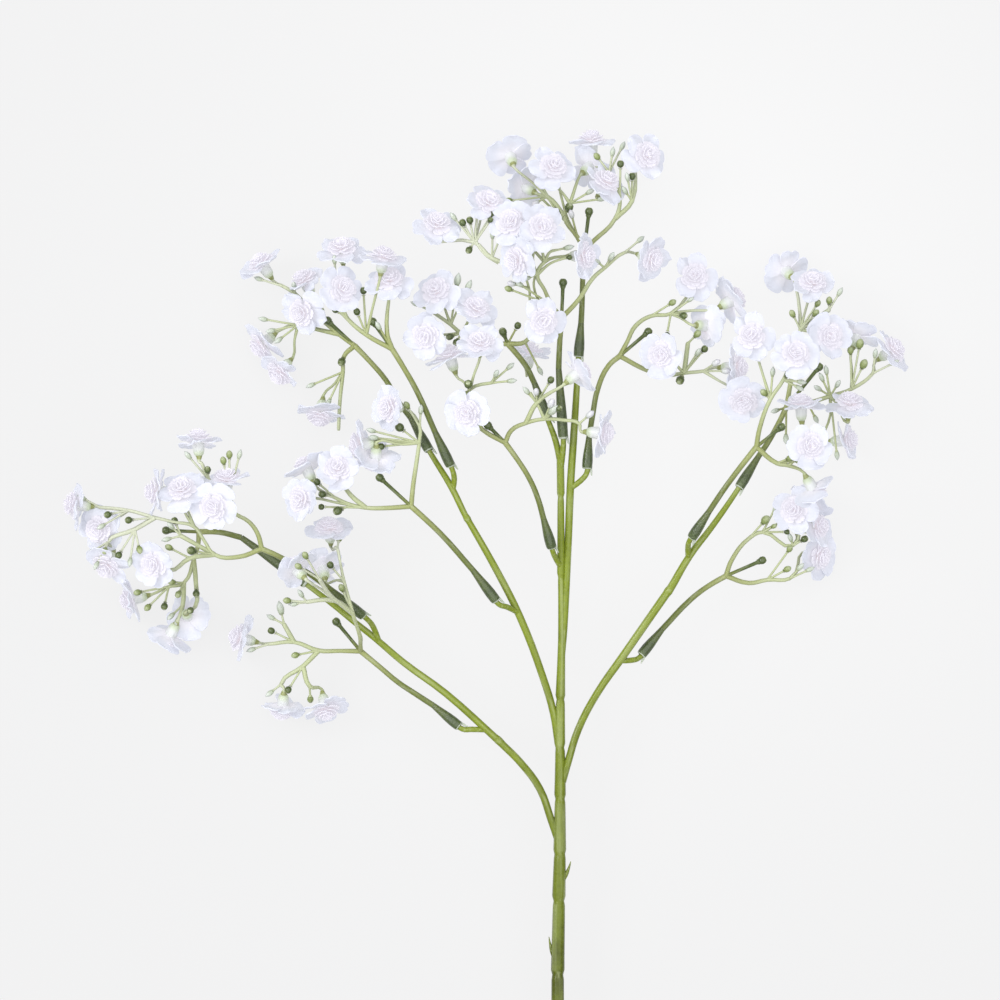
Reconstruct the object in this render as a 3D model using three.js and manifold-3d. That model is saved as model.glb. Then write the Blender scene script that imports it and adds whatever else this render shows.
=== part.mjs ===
// Moulded gypsophila stem, lying down: one branching main stem with fourteen push-on sprays of
// small ruffled blooms and buds. Millimetres. +Y runs from the cut end to the head, +X to the
// right seen from above, +Z up, and Z = 0 is the surface that the stem rests on.
import * as THREE from "three";
import { mergeVertices } from "three/addons/utils/BufferGeometryUtils.js";
import Module from "manifold-3d";

const wasm = await Module();
wasm.setup();

// Bloom: a disc of petals, a folded ruffle with a raised middle on it, and a calyx below.
const petals = 5;
const petalReach = 8.4;
const petalNotch = 5.7;
const petalShoulder = 19; // degrees either side of a petal's middle
const petalThickness = 0.7;
const ruffleSides = 8; // every second one folds down
const ruffleReach = 4.9;
const ruffleHeight = 3.4;
const foldReach = 3.2;
const foldHeight = 1.9;
const tuftHeight = 5.2;
const calyxLength = 4.8;
const calyxMouth = 2.2;
const calyxNeck = 1.25;
const rollStep = 137.5; // degrees from one bloom's petals to the next one's

// Twigs, limbs and buds
const twigSides = 3;
const twigRoot = 0.45;
const limbRoot = 0.6;
const limbRadius = 1.05;
const limbOverrun = 0.6;
const budLength = 2.9; // of its radius
const budNeck = 0.55; // of its radius

// Spray stems and the pegs that carry a ball past their forks
const stemSides = 5;
const socketRadius = 2.35;
const socketWaist = 1.3;
const stemRadius = 1.1;
const pegSides = 4;
const pegRadius = 1.1;
const ballRadius = 1.9;

// Bores, and the stubs of the main stem that they slip over
const boreSides = 5;
const boreRadius = 1.5;
const boreDepth = 6.5;
const boreOvershoot = 1;
const stubRadius = 0.95;
const stubLead = 1.5;
const stubReach = 5.5;

// Main stem
const trunkSides = 6;
const armSides = 4;
const stubSides = 4;
const thornTip = 0.35;
const thorns = [
  { from: [0.4, 42, 15.2], to: [3.8, 47.3, 15.6], radius: 0.95 },
  { from: [-1.6, 14.2, 13.4], to: [-3.6, 20.6, 13.7], radius: 0.95 },
];

// Each path runs through [x, y, z, radius], and then into the socket of the spray it carries.
const stemPaths = [
  { path: [
    [-0.6, -200, 2.3, 2.3], [-0.7, -100, 7.3, 2.25], [-0.7, 6.3, 12.9, 2.1], [-0.7, 8, 13, 1.85],
    [-0.7, 9.8, 13.1, 2.3], [-0.3, 32.3, 14.6, 2.05], [-0.3, 34, 14.7, 1.8], [-0.3, 35.8, 14.8, 2.25],
    [0, 49, 15.8, 2], [0, 50.5, 15.9, 1.8], [0, 52.2, 16, 2.15], [0.1, 68.5, 17.1, 1.8],
    [0.1, 70, 17.2, 1.6], [0.1, 71.6, 17.3, 1.95], [0.1, 86.5, 18.3, 1.65],
    [0, 88, 18.4, 1.45], [0, 89.6, 18.5, 1.85], [0.2, 103.6, 19.4, 1.5], [0.2, 105, 19.5, 1.3],
    [0.2, 106.5, 19.6, 1.65], [0.6, 126, 21, 1.2], [0.5, 146.6, 22.4, 1.15], [0.4, 148, 22.5, 1],
    [0.4, 149.5, 22.6, 1.35], [0.3, 174.6, 24.3, 1.1], [0.3, 176, 24.4, 0.95],
    [0.3, 177.4, 24.5, 1.3], [0.1, 191, 26, 1.25],
  ] },
  { into: "spray_top_left", path: [[0.2, 188, 25.5, 1.1], [-1.6, 196, 26.1, 1.05]] },
  { into: "spray_top_centre", path: [[0.2, 186, 25.4, 1.1], [0.9, 191.5, 27, 1.05]] },
  { into: "spray_top_right", path: [
    [0.8, 120, 20.6, 1], [1.5, 130, 21.2, 1.15], [2.9, 160, 23, 1.25], [3.7, 180, 24, 1.3],
    [4.8, 197, 24.8, 1.25], [5.8, 213, 25.5, 1.1],
  ] },
  { into: "spray_left_back", path: [
    [-0.8, 56, 16, 1.25], [-3, 62.5, 16.5, 1.25], [-7, 73.5, 17, 1.25], [-14, 83, 17, 1.25],
    [-20, 89, 17, 1.25], [-21.5, 90.5, 17, 1.4], [-23, 91.8, 16.9, 1.25], [-40, 107, 16.5, 1.2],
    [-55, 118, 16, 1.15], [-65, 126.5, 15.5, 1.1], [-72, 132, 15, 1.05], [-80, 138.5, 14.5, 1],
  ] },
  { into: "spray_left_low", path: [[-26, 94.3, 16.6, 0.95], [-31, 94.4, 16, 0.95]] },
  { into: "spray_left_front", path: [[-63.5, 125.2, 15.6, 0.95], [-65.8, 131, 19, 0.95]] },
  { into: "spray_top_left_back", path: [
    [-0.8, 90, 18.5, 1.1], [-2.2, 100, 19.5, 1.25], [-6, 113, 20.5, 1.25], [-14, 134, 22.5, 1.25],
    [-22, 150, 24.5, 1.2], [-31.8, 167.3, 26.8, 1.05], [-32.5, 168.5, 27, 1.25],
    [-33.2, 169.7, 27.2, 1.05], [-38, 179.5, 28, 1.1],
  ] },
  { into: "spray_mid_left", path: [[-14.5, 135.5, 22.7, 0.95], [-18.5, 137.5, 26, 0.95]] },
  { into: "spray_top_left_front", path: [[-37.5, 178.4, 27.8, 0.95], [-37, 182.6, 29.8, 0.95]] },
  { into: "spray_right_back", path: [
    [1, 76, 17.5, 1.2], [2.9, 83, 18.5, 1.25], [6.5, 94.5, 19.5, 1.25], [13, 107, 20, 1.25],
    [22, 120, 21, 1.35], [37.2, 141.9, 23.4, 1.35], [38, 143, 23.5, 1.5], [38.8, 144.1, 23.6, 1.35],
    [45.5, 155.5, 24.6, 1.2], [53, 165.3, 24.8, 1.05],
  ] },
  { into: "spray_right_low", path: [[21, 118.6, 20.7, 0.95], [25.5, 118.8, 19, 0.95]] },
  { into: "spray_right_front", path: [[45, 154.6, 24.5, 0.95], [44.8, 158.6, 28, 0.95]] },
  { into: "spray_right_high", path: [[3.6, 179, 24, 0.95], [7.5, 182, 25, 0.95]] },
  { into: "spray_centre_front", path: [[0.3, 151.5, 22.8, 0.95], [-1.7, 155, 25.7, 0.95]] },
];

// Sprays. hubs are named joints, limbs join them in turn, a bloom is [hub, centre, turn, lift],
// facing `turn` degrees round from +X and `lift` degrees up, and a bud is [hub, place, radius].
const sprays = {
  spray_left_low: {
    socket: [[-35.3, 95.4, 15.6], [-44.5, 102.8, 14.5]],
    stem: [[-51, 107, 14], [-57, 111, 13.5], [-63, 116, 13], [-70, 121.8, 13]],
    ball: [-78.6, 132.2, 13],
    hubs: {
      west: [-84.8, 122, 12], west2: [-93.5, 125, 11.5], west3: [-102.5, 124.3, 10.5],
      westTop: [-97, 131.3, 13], south: [-90.3, 116.5, 12], south1: [-98, 110.2, 11],
      south2: [-88, 109.5, 12], north: [-70, 127, 24], north0: [-72.5, 135.5, 32.5],
      north1: [-74, 141, 33], north2: [-75.5, 146.5, 32], north3: [-78, 158, 27],
      mid1: [-80, 141.5, 40], mid2: [-83.8, 147.5, 47], side0: [-78.5, 139.8, 35],
      side: [-88.5, 139.4, 36],
    },
    limbs: [
      ["fork", "west", "west2", "west3"], ["west2", "westTop"], ["west", "south", "south1"],
      ["south", "south2"], ["fork", "north", "north0", "north1", "north2", "north3"],
      ["north0", "mid1", "mid2"], ["north0", "side0", "side"],
    ],
    blooms: [
      ["west3", [-112, 126.3, 8.33], 165, 10], ["south1", [-97.5, 102.3, 9.5], 265, -25],
      ["south2", [-82.5, 102, 11], 282, 22], ["mid1", [-92, 151, 44], 135, -35],
      ["north2", [-83, 151.2, 21], 100, -40], ["north3", [-80.8, 164.5, 23], 95, 28],
    ],
    buds: [
      ["westTop", [-98.2, 136.8, 14], 1.6], ["west", [-93, 120.4, 13], 1.2],
      ["north3", [-77.4, 161.5, 24], 1.2], ["side", [-93, 138.7, 35], 1.1],
    ],
  },
  spray_left_front: {
    socket: [[-69, 134.4, 23], [-80, 143.5, 30]],
    stem: [[-88, 149.5, 35], [-98, 155.3, 40], [-104, 158, 42]],
    hubs: {
      up1: [-105.5, 163.5, 43], up2: [-108.5, 167.5, 44], up3: [-113.8, 171, 44],
      up4: [-115.2, 177, 42], top: [-122.3, 182, 44], top2: [-125, 188, 45],
      west0: [-112, 155.2, 43], west1: [-120.4, 156, 44], west2: [-127.5, 165.8, 46],
      west3: [-141, 168.9, 47], west4: [-150.3, 171.4, 47], west5: [-160.3, 172.5, 46],
      low1: [-148, 164.8, 46], low2: [-157.5, 160.3, 45], mid1: [-129, 154.7, 43],
      mid2: [-136.2, 150.5, 41], knot: [-132, 162.5, 44],
    },
    limbs: [
      ["fork", "up1", "up2", "up3", "up4", "top", "top2"],
      ["fork", "west0", "west1", "west2", "west3", "west4", "west5"],
      ["west3", "low1", "low2"], ["west1", "mid1", "mid2"], ["west1", "knot"],
    ],
    blooms: [
      ["up4", [-116.2, 181.5, 43], 90, 25], ["top2", [-126, 195.2, 45], 93, 0],
      ["up3", [-120.5, 172.5, 52], 180, 80], ["west2", [-131.5, 178.2, 50], 100, 50],
      ["west2", [-140, 177.8, 47], 180, 5], ["west5", [-168.2, 173.3, 46], 175, 5],
      ["west4", [-160.3, 164.8, 44], 200, 62], ["low2", [-157.5, 152.8, 46], 245, 40],
      ["mid2", [-141.2, 152.8, 46], 200, 70],
    ],
    buds: [
      ["up4", [-117.3, 188.7, 44], 1.2], ["top", [-122.7, 185.5, 47], 1.3],
      ["west3", [-150, 168, 50], 1.3], ["low2", [-163, 157, 47], 1.1],
      ["knot", [-137, 161.3, 45], 1.1], ["mid2", [-139, 151, 44], 1.1],
    ],
  },
  spray_left_back: {
    socket: [[-89.3, 145.5, 14], [-112, 161.8, 12.5]],
    stem: [[-120, 163.7, 12], [-127, 163.8, 12]],
    ball: [-138.5, 164.3, 12],
    hubs: {
      down0: [-127.3, 159, 12], down1: [-128.8, 154, 12], down2: [-132.3, 145.8, 12],
      west: [-137.6, 144.5, 12], low: [-132.7, 138, 11], east: [-128, 146, 13],
      low2: [-128.2, 137.5, 14],
    },
    limbs: [
      ["fork", "down0", "down1", "down2", "west"], ["down2", "low"], ["down1", "east", "low2"],
    ],
    blooms: [
      ["west", [-150.2, 140, 8.33], 195, 10], ["low", [-137, 127.4, 11], 243, -22],
      ["low2", [-131, 134.2, 9.5], 290, -78],
    ],
    buds: [
      ["west", [-148.4, 142.5, 16], 1.2], ["down2", [-134.1, 141.8, 16], 1.2],
      ["low2", [-129.7, 136.2, 18], 1.3],
    ],
  },
  spray_mid_left: {
    socket: [[-22.3, 139.7, 28.5], [-30.5, 150.5, 31]],
    stem: [[-42, 163.5, 35], [-52, 172.8, 38]],
    ball: [-62.9, 182.8, 40],
    hubs: {
      west0: [-61, 172.2, 38], west1: [-67.8, 172.3, 38], westUp: [-73.3, 177, 39],
      west2: [-72.8, 173.3, 38], west3: [-78.5, 175.8, 39], up0: [-51.3, 180, 38],
      up1: [-50, 189, 37.5], up2: [-49.2, 195, 38], top: [-49, 200.5, 39],
    },
    limbs: [
      ["fork", "west0", "west1", "west2", "west3"], ["west1", "westUp"],
      ["fork", "up0", "up1", "up2", "top"],
    ],
    blooms: [
      ["westUp", [-77.4, 185.6, 42], 100, 65], ["west3", [-88.5, 185.8, 36], 117, -18],
      ["west2", [-89.6, 175.2, 43], 185, 50], ["up2", [-64.4, 189.5, 39], 265, -35],
      ["up2", [-69, 194.2, 40], 195, -15], ["top", [-58.8, 207, 41], 180, 45],
    ],
    buds: [
      ["west3", [-83, 177, 41], 1.3], ["up2", [-65.8, 199.2, 43], 1.1],
      ["top", [-48.6, 206.4, 40], 1.1],
    ],
  },
  spray_top_left_back: {
    socket: [[-45.8, 192.3, 27.2], [-52.3, 203.8, 24]],
    stem: [[-57, 210, 22], [-61, 217, 20.5], [-67, 224, 19], [-72, 229.2, 18]],
    ball: [-81.5, 238, 18],
    hubs: {
      hang0: [-75.8, 225.5, 16], hang1: [-76.2, 220, 15], hang2: [-77.3, 210, 13],
      hang3: [-77.8, 200, 12], left1: [-77.5, 233.2, 17], left2: [-84.3, 239, 16],
      far1: [-93, 247.5, 16], far2: [-97, 250, 16], under: [-92, 236.5, 14],
    },
    limbs: [
      ["fork", "hang0", "hang1", "hang2", "hang3"], ["fork", "left1", "left2", "far1", "far2"],
      ["left1", "under"],
    ],
    blooms: [
      ["hang1", [-84.3, 205.5, 11], 260, 20], ["under", [-104.5, 230, 8.24], 220, 10],
      ["under", [-98, 220.5, 11], 230, 25], ["left2", [-90.3, 241, 19], 200, 55],
      ["left2", [-89.5, 251.5, 14], 120, 20], ["far2", [-104.5, 257.5, 14], 125, 20],
    ],
    buds: [
      ["hang0", [-76.6, 223.5, 17.5], 1.5], ["far2", [-105.8, 252.8, 13], 1.1],
      ["hang1", [-87.5, 215.3, 15], 1.1],
    ],
  },
  spray_top_left_front: {
    socket: [[-38.3, 187, 32.2], [-43.8, 199, 36]],
    stem: [[-50, 213, 40], [-54.5, 221, 42], [-58.5, 227.5, 44]],
    ball: [-65.2, 237, 46],
    hubs: {
      up: [-60.3, 233, 45], west1: [-67.5, 232.5, 45], west2: [-74, 238, 45],
      west3: [-77.5, 243, 46],
    },
    limbs: [["fork", "up"], ["fork", "west1", "west2", "west3"]],
    blooms: [
      ["west2", [-76, 248, 52], 20, 60], ["west3", [-76, 261.8, 47], 95, 35],
      ["up", [-59.5, 251, 50], 90, 50], ["west1", [-61.5, 258.5, 56], 80, 15],
    ],
    buds: [
      ["fork", [-63.3, 235.5, 47], 1.1], ["west3", [-78.3, 245.3, 48], 1.1],
    ],
  },
  spray_centre_front: {
    socket: [[-2.9, 158.3, 28.3], [-5.8, 168.5, 32]],
    stem: [[-7.6, 175, 34], [-10.5, 182, 36], [-14.5, 188.5, 37], [-19.2, 195, 38]],
    ball: [-25.2, 201, 40],
    hubs: {
      right1: [-17, 199.3, 39], right2: [-12, 201.8, 40], right3: [-5.5, 203.2, 40],
      right4: [1.5, 202.8, 40], right5: [6.6, 201.6, 40], upHub: [-8.2, 208.8, 42],
      left1: [-26.8, 199.3, 39], via: [-33, 206, 37], left2: [-31.5, 213.5, 40],
      left3: [-24, 215.8, 41],
    },
    limbs: [
      ["fork", "right1", "right2", "right3", "right4", "right5"], ["right2", "upHub"],
      ["fork", "left1", "via", "left2", "left3"],
    ],
    blooms: [
      ["right5", [14, 198.3, 41], 355, 14], ["upHub", [5.8, 219, 46], 40, -18],
      ["left1", [-32.2, 205.1, 47], 200, 75], ["left2", [-28, 229, 50], 90, 50],
      ["left2", [-38.5, 224.7, 34], 110, 5],
    ],
    buds: [
      ["upHub", [-11.8, 213, 43], 1.1], ["right3", [-2.6, 206.2, 43], 1.6],
      ["left2", [-33, 211.8, 43], 1.2],
    ],
  },
  spray_top_right: {
    socket: [[6.5, 225.2, 26], [7.4, 237, 26]],
    stem: [[7.7, 243, 26], [8, 253, 26], [8.5, 262.5, 26]],
    ball: [10.2, 276, 26],
    hubs: {
      right1: [11.5, 265.5, 25.5], right2: [19.3, 273.5, 24], right3: [21, 281, 24],
      right4: [25.3, 279.8, 23], back: [17.3, 290, 22], left1: [6.2, 267, 25],
      left2: [1.6, 274.5, 24], left3: [3.5, 279, 23], left4: [-4.5, 281.5, 21],
    },
    limbs: [
      ["fork", "right1", "right2", "right3", "back"], ["right2", "right4"],
      ["fork", "left1", "left2", "left3"], ["left2", "left4"],
    ],
    blooms: [
      ["right3", [15.8, 286, 25], 60, 35], ["right4", [30.1, 295.4, 24], 25, 60],
      ["back", [11.2, 300.5, 17], 92, 5], ["left3", [10.5, 292.3, 16], 45, -45],
      ["left3", [-2.5, 291.2, 26], 60, 60], ["left4", [-12.3, 285, 15], 150, -40],
      ["left4", [-17.5, 295.8, 17], 110, -50],
    ],
    buds: [
      ["right3", [21.2, 292.7, 26], 1.3], ["back", [13, 295.5, 22], 1.2],
      ["left1", [4, 275, 28], 1.1], ["left4", [-1.2, 276, 24], 1.3],
    ],
  },
  spray_top_left: {
    socket: [[-4.4, 203.6, 26.8], [-9, 216, 28]],
    stem: [[-12, 222, 29], [-18.3, 229.6, 30]],
    ball: [-20, 233.8, 32],
    hubs: {
      low: [-12, 222, 29], right1: [-12.3, 230.2, 33], left1: [-24, 229.8, 30], left2: [-34.5, 233.3, 31],
      left3: [-38.2, 236.3, 32], left4: [-45, 241, 33],
    },
    limbs: [["fork", "right1"], ["fork", "left1", "left2", "left3", "left4"]],
    blooms: [
      ["right1", [-6, 237.5, 47], 300, 80], ["low", [-10.9, 225.8, 20], 85, 8],
      ["left3", [-43, 247.8, 37], 120, 60], ["left2", [-29.8, 241.5, 36], 60, 50],
      ["left2", [-46.9, 232, 38], 200, 80],
    ],
    buds: [
      ["fork", [-14.8, 236, 31], 1.3], ["left2", [-38.6, 232, 34], 1.3],
    ],
  },
  spray_top_centre: {
    socket: [[1.1, 196.8, 28.6], [-0.5, 221, 32.5]],
    stem: [[-0.3, 227, 33.8], [0, 232, 35], [0.5, 238.5, 36.5]],
    ball: [1, 250.8, 38],
    hubs: {
      right1: [6.5, 245, 36], right2: [11.5, 252.5, 36], right3: [15.5, 256, 36],
      right4: [22.5, 261.4, 35], left1: [-3, 243, 38], left2: [-8, 253.5, 43],
      left3: [-5.5, 257.8, 44], far1: [-15, 256.5, 43], far2: [-23.8, 259.3, 42],
      far3: [-30, 264.8, 41],
    },
    limbs: [
      ["fork", "right1", "right2", "right3", "right4"], ["fork", "left1", "left2", "left3"],
      ["left2", "far1", "far2", "far3"],
    ],
    blooms: [
      ["right4", [31.2, 259.4, 36], 340, 40], ["left3", [7.5, 260, 44], 0, 35],
      ["left2", [-14.7, 258.3, 50], 190, 45], ["left3", [-6.7, 269.5, 54], 45, 70],
      ["left3", [-17.2, 271.3, 47], 120, 70], ["far3", [-43, 270.5, 42], 75, 45],
      ["far3", [-25.2, 278.3, 43], 60, 55],
    ],
    buds: [
      ["right4", [28, 266, 33], 1.1], ["left1", [-18, 248.6, 40], 1.2],
      ["far3", [-31.8, 262, 43], 1.3], ["far2", [-20.3, 268, 44], 1.2],
    ],
  },
  spray_right_high: {
    socket: [[9.5, 186, 25], [10.2, 197, 24.5]],
    stem: [[11.5, 205, 24], [13.3, 214, 23.5], [17, 222, 23], [21, 225.5, 22]],
    ball: [31, 234, 22],
    hubs: {
      up1: [26.5, 236, 20], up2: [32, 239.6, 19], up3: [39, 240.5, 18],
      low1: [31, 220.4, 18], low2: [37, 218.8, 17], low3: [43.7, 219.6, 17],
      low4: [50.5, 220.3, 17], mid: [45, 230, 17],
    },
    limbs: [
      ["fork", "up1", "up2", "up3"], ["fork", "low1", "low2", "low3", "low4"], ["low3", "mid"],
    ],
    blooms: [
      ["up3", [47.3, 253.4, 18], 90, 75], ["up3", [60.5, 245.3, 14], 30, -20],
      ["up3", [51, 236.3, 17], 0, -50], ["low3", [35.7, 226, 25], 200, 75],
      ["low4", [61.6, 221.6, 12], 0, 12], ["low4", [64.4, 210, 20], 270, 70],
    ],
    buds: [
      ["up2", [39.5, 244.3, 20], 1.2], ["mid", [48.3, 233.3, 19], 1.3],
      ["low4", [54.8, 223.2, 20], 1.2],
    ],
  },
  spray_right_front: {
    socket: [[46, 161.8, 31], [52, 171, 35]],
    stem: [[58, 180, 38.5], [68.3, 193.5, 42]],
    ball: [77, 200.4, 44],
    hubs: {
      up1: [69.4, 200, 44], up2: [73, 210, 47], up3: [77.5, 216.8, 48],
      low1: [75.5, 187.8, 42], low2: [79.5, 187, 42],
    },
    limbs: [["fork", "up1", "up2", "up3"], ["fork", "low1", "low2"]],
    blooms: [
      ["up2", [66.3, 231.9, 52], 110, 75], ["up3", [81.3, 225.6, 54], 60, 75],
      ["low2", [88, 179, 38], 300, -20], ["low2", [86.7, 193.6, 48], 45, 75],
    ],
    buds: [
      ["up2", [73.8, 219.5, 48], 1.1], ["up3", [83.7, 216, 49], 1.1],
    ],
  },
  spray_right_back: {
    socket: [[62.8, 179.4, 23.4], [69.5, 190, 21.5]],
    stem: [[73.5, 196, 21], [77.3, 203, 20.5], [79.5, 207.5, 20]],
    ball: [91, 221.7, 20],
    hubs: {
      up1: [81, 216, 19], up2: [82.8, 226, 18], up3: [84.5, 235, 18],
      up4: [94.5, 241.7, 18], right1: [87, 209, 19], right2: [95, 211.5, 18],
      right3: [102.5, 214, 17], right4: [110, 219.5, 16],
    },
    limbs: [
      ["fork", "up1", "up2", "up3"], ["up3", "up4"],
      ["fork", "right1", "right2", "right3", "right4"],
    ],
    blooms: [
      ["up3", [79.8, 255.8, 7], 130, -55], ["up3", [88.5, 250.8, 19], 80, 50],
      ["up3", [94.4, 232.4, 22], 0, 78], ["right3", [104.3, 232.5, 14], 70, -30],
      ["right4", [116.6, 227.5, 13], 35, 18], ["right2", [101.5, 208.3, 24], 85, 28],
      ["right1", [84.3, 207.6, 30], 93, 12], ["right2", [100.3, 196, 8.27], 5, 12],
    ],
    buds: [
      ["up3", [81.6, 240.4, 20], 1.2], ["up4", [94.6, 245, 19], 1.2],
      ["right4", [110.8, 226.4, 18], 1.1], ["right2", [97.5, 215.7, 21], 1.1],
      ["fork", [75.5, 206.3, 22], 1.1],
    ],
  },
  spray_right_low: {
    socket: [[28.6, 120.6, 17.4], [36, 129.6, 16]],
    stem: [[46, 140, 15.5], [52, 144.6, 15], [58.4, 148.3, 15]],
    ball: [71.2, 153.8, 15],
    hubs: {
      up1: [60.5, 154, 16], up2: [66.5, 161.5, 16], up3: [71.3, 163.7, 16],
      up4: [82, 159, 15], low1: [66.5, 145.8, 13], low2: [73, 146.9, 13],
      low3: [81, 147.4, 13],
    },
    limbs: [
      ["fork", "up1", "up2", "up3", "up4"], ["fork", "low1", "low2", "low3"],
    ],
    blooms: [
      ["up3", [82.3, 171.5, 22], 150, 70], ["up4", [87.8, 174, 12], 60, -30],
      ["up4", [89.8, 165.5, 14], 10, 25], ["low3", [91, 155.4, 6.57], 350, 40],
    ],
    buds: [
      ["up2", [72.2, 168, 18], 1.5], ["up4", [86, 161.3, 17], 1.3],
      ["low3", [84.6, 151.4, 14], 1.1],
    ],
  },
};

const stemGreen = new THREE.MeshStandardMaterial({ color: 0x5f7a1e, roughness: 0.5, metalness: 0 });
const bloomWhite = new THREE.MeshStandardMaterial({ color: 0xe2e4f6, roughness: 0.6, metalness: 0 });

function vector([x, y, z]) {
  return new THREE.Vector3(x, y, z);
}

// Point a distance from one place towards another.
function towards(from, to, distance) {
  return to.clone().sub(from).setLength(distance).add(from);
}

function solid(geometry) {
  geometry.deleteAttribute("normal");
  geometry.deleteAttribute("uv");
  const merged = mergeVertices(geometry);
  return new wasm.Manifold(
    new wasm.Mesh({
      numProp: 3,
      vertProperties: merged.attributes.position.array,
      triVerts: new Uint32Array(merged.index.array),
    }),
  );
}

function mesh(name, body, material) {
  const { vertProperties, triVerts } = body.getMesh();
  const geometry = new THREE.BufferGeometry();
  geometry.setAttribute("position", new THREE.BufferAttribute(vertProperties, 3));
  geometry.setIndex(new THREE.BufferAttribute(triVerts, 1));
  const named = new THREE.Mesh(geometry, material);
  named.name = name;
  return named;
}

// Two axes across a run of points at each point, carried along it without twisting.
function crossAxes(points) {
  const last = points.length - 1;
  const run = points[last].clone().sub(points[0]).normalize();
  let across = Math.abs(run.z) > 0.8 ? new THREE.Vector3(1, 0, 0) : new THREE.Vector3(0, 0, 1);
  return points.map((point, i) => {
    const before = points[Math.max(i - 1, 0)];
    const after = points[Math.min(i + 1, last)];
    const along = after.clone().sub(before).normalize();
    across = across.clone().projectOnPlane(along).normalize();
    return { first: along.clone().cross(across), second: across };
  });
}

// A round bar through the points with its own radius at each, ending in a point if asked.
function bar(points, radii, sides, pointed = false) {
  const steps = points.length - 1;
  const geometry = new THREE.CylinderGeometry(pointed ? 0 : 1, 1, steps, sides, steps);
  const place = geometry.attributes.position;
  const axes = crossAxes(points);
  for (let i = 0; i < place.count; i++) {
    const ring = Math.round(place.getY(i) + steps / 2);
    const rim = new THREE.Vector2(place.getX(i), place.getZ(i));
    rim.setLength(rim.length() > 0.01 ? radii[ring] : 0);
    const moved = points[ring].clone();
    moved.addScaledVector(axes[ring].first, rim.x);
    moved.addScaledVector(axes[ring].second, rim.y);
    place.setXYZ(i, moved.x, moved.y, moved.z);
  }
  return solid(geometry);
}

function petalDisc() {
  const outline = [];
  for (let petal = 0; petal < petals; petal++) {
    const middle = (360 / petals) * petal;
    outline.push([middle - petalShoulder, petalReach], [middle + petalShoulder, petalReach]);
    outline.push([middle + 180 / petals, petalNotch]);
  }
  const corners = outline.map(([degrees, reach]) => {
    const angle = THREE.MathUtils.degToRad(degrees);
    return new THREE.Vector2(reach * Math.cos(angle), reach * Math.sin(angle));
  });
  const settings = { depth: petalThickness, bevelEnabled: false };
  const disc = new THREE.ExtrudeGeometry(new THREE.Shape(corners), settings);
  disc.translate(0, 0, -petalThickness / 2);
  return disc;
}

// A funnel whose rim folds down at every second corner, with its middle raised as a tuft.
function ruffle() {
  const funnel = new THREE.CylinderGeometry(ruffleReach, 0, ruffleHeight, ruffleSides);
  const place = funnel.attributes.position;
  for (let i = 0; i < place.count; i++) {
    const corner = new THREE.Vector2(place.getX(i), place.getZ(i));
    if (place.getY(i) < 0) continue;
    const turn = Math.round((corner.angle() / (2 * Math.PI)) * ruffleSides);
    const folded = turn % 2 === 1;
    const centred = corner.length() < foldReach;
    if (folded && !centred) corner.setLength(foldReach);
    const height = centred ? tuftHeight : folded ? foldHeight : ruffleHeight;
    place.setXYZ(i, corner.x, height - ruffleHeight / 2, corner.y);
  }
  funnel.rotateX(Math.PI / 2);
  funnel.translate(0, 0, ruffleHeight / 2 - petalThickness * 0.4);
  return funnel;
}

const bloomLayers = [petalDisc(), ruffle()];

// Unit vector that points `turn` degrees round from +X and `lift` degrees up.
function facing(turn, lift) {
  const around = THREE.MathUtils.degToRad(turn);
  const above = THREE.MathUtils.degToRad(lift);
  const level = Math.cos(above);
  return vector([level * Math.cos(around), level * Math.sin(around), Math.sin(above)]);
}

function bloomHead([, centre, turn, lift], roll) {
  const upright = new THREE.Vector3(0, 0, 1);
  const turned = new THREE.Quaternion().setFromUnitVectors(upright, facing(turn, lift));
  const rolled = new THREE.Quaternion().setFromAxisAngle(upright, THREE.MathUtils.degToRad(roll));
  const size = new THREE.Vector3(1, 1, 1);
  const placed = new THREE.Matrix4().compose(vector(centre), turned.multiply(rolled), size);
  const [disc, cup] = bloomLayers.map((layer) => solid(layer.clone().applyMatrix4(placed)));
  return disc.add(cup);
}

// The neck and the mouth of a bloom's calyx.
function calyxPlaces([, centre, turn, lift]) {
  const mouth = vector(centre);
  return [mouth.clone().addScaledVector(facing(turn, lift), -calyxLength), mouth];
}

// A twig that widens into a bloom's calyx.
function stalk(hub, flower) {
  const [neck, mouth] = calyxPlaces(flower);
  return bar([hub, neck, mouth], [twigRoot, calyxNeck, calyxMouth], twigSides);
}

// A twig that swells near its end and comes to a point.
function bud(hub, place, radius) {
  const base = towards(place, hub, (radius * budLength) / 2);
  const tip = towards(place, hub, (-radius * budLength) / 2);
  return bar([hub, base, place, tip], [twigRoot, radius * budNeck, radius, 0], twigSides, true);
}

// A limb from hub to hub, which runs on into the calyx of the bloom at its end.
function limb(hubs, flower) {
  const route = hubs.slice();
  const radii = hubs.map((hub, i) => (i ? limbRadius : limbRoot));
  if (flower) {
    route.push(...calyxPlaces(flower));
    radii.push(calyxNeck, calyxMouth);
  } else {
    route.push(towards(hubs.at(-1), hubs.at(-2), -limbOverrun));
    radii.push(limbRadius);
  }
  return bar(route, radii, twigSides);
}

// A bored socket that narrows to its waist, and the stem that runs on to the fork.
function socketStem(spray, fork) {
  const [mouth, waist] = spray.socket.map(vector);
  const beyond = spray.stem.map(vector);
  beyond.push(towards(fork, beyond.at(-2) ?? waist, -limbOverrun));
  const radii = [socketRadius, socketWaist, ...beyond.map(() => stemRadius)];
  const outer = bar([mouth, waist, ...beyond], radii, stemSides);
  const boreEnds = [towards(mouth, waist, -boreOvershoot), towards(mouth, waist, boreDepth)];
  return outer.subtract(bar(boreEnds, [boreRadius, boreRadius], boreSides));
}

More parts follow.
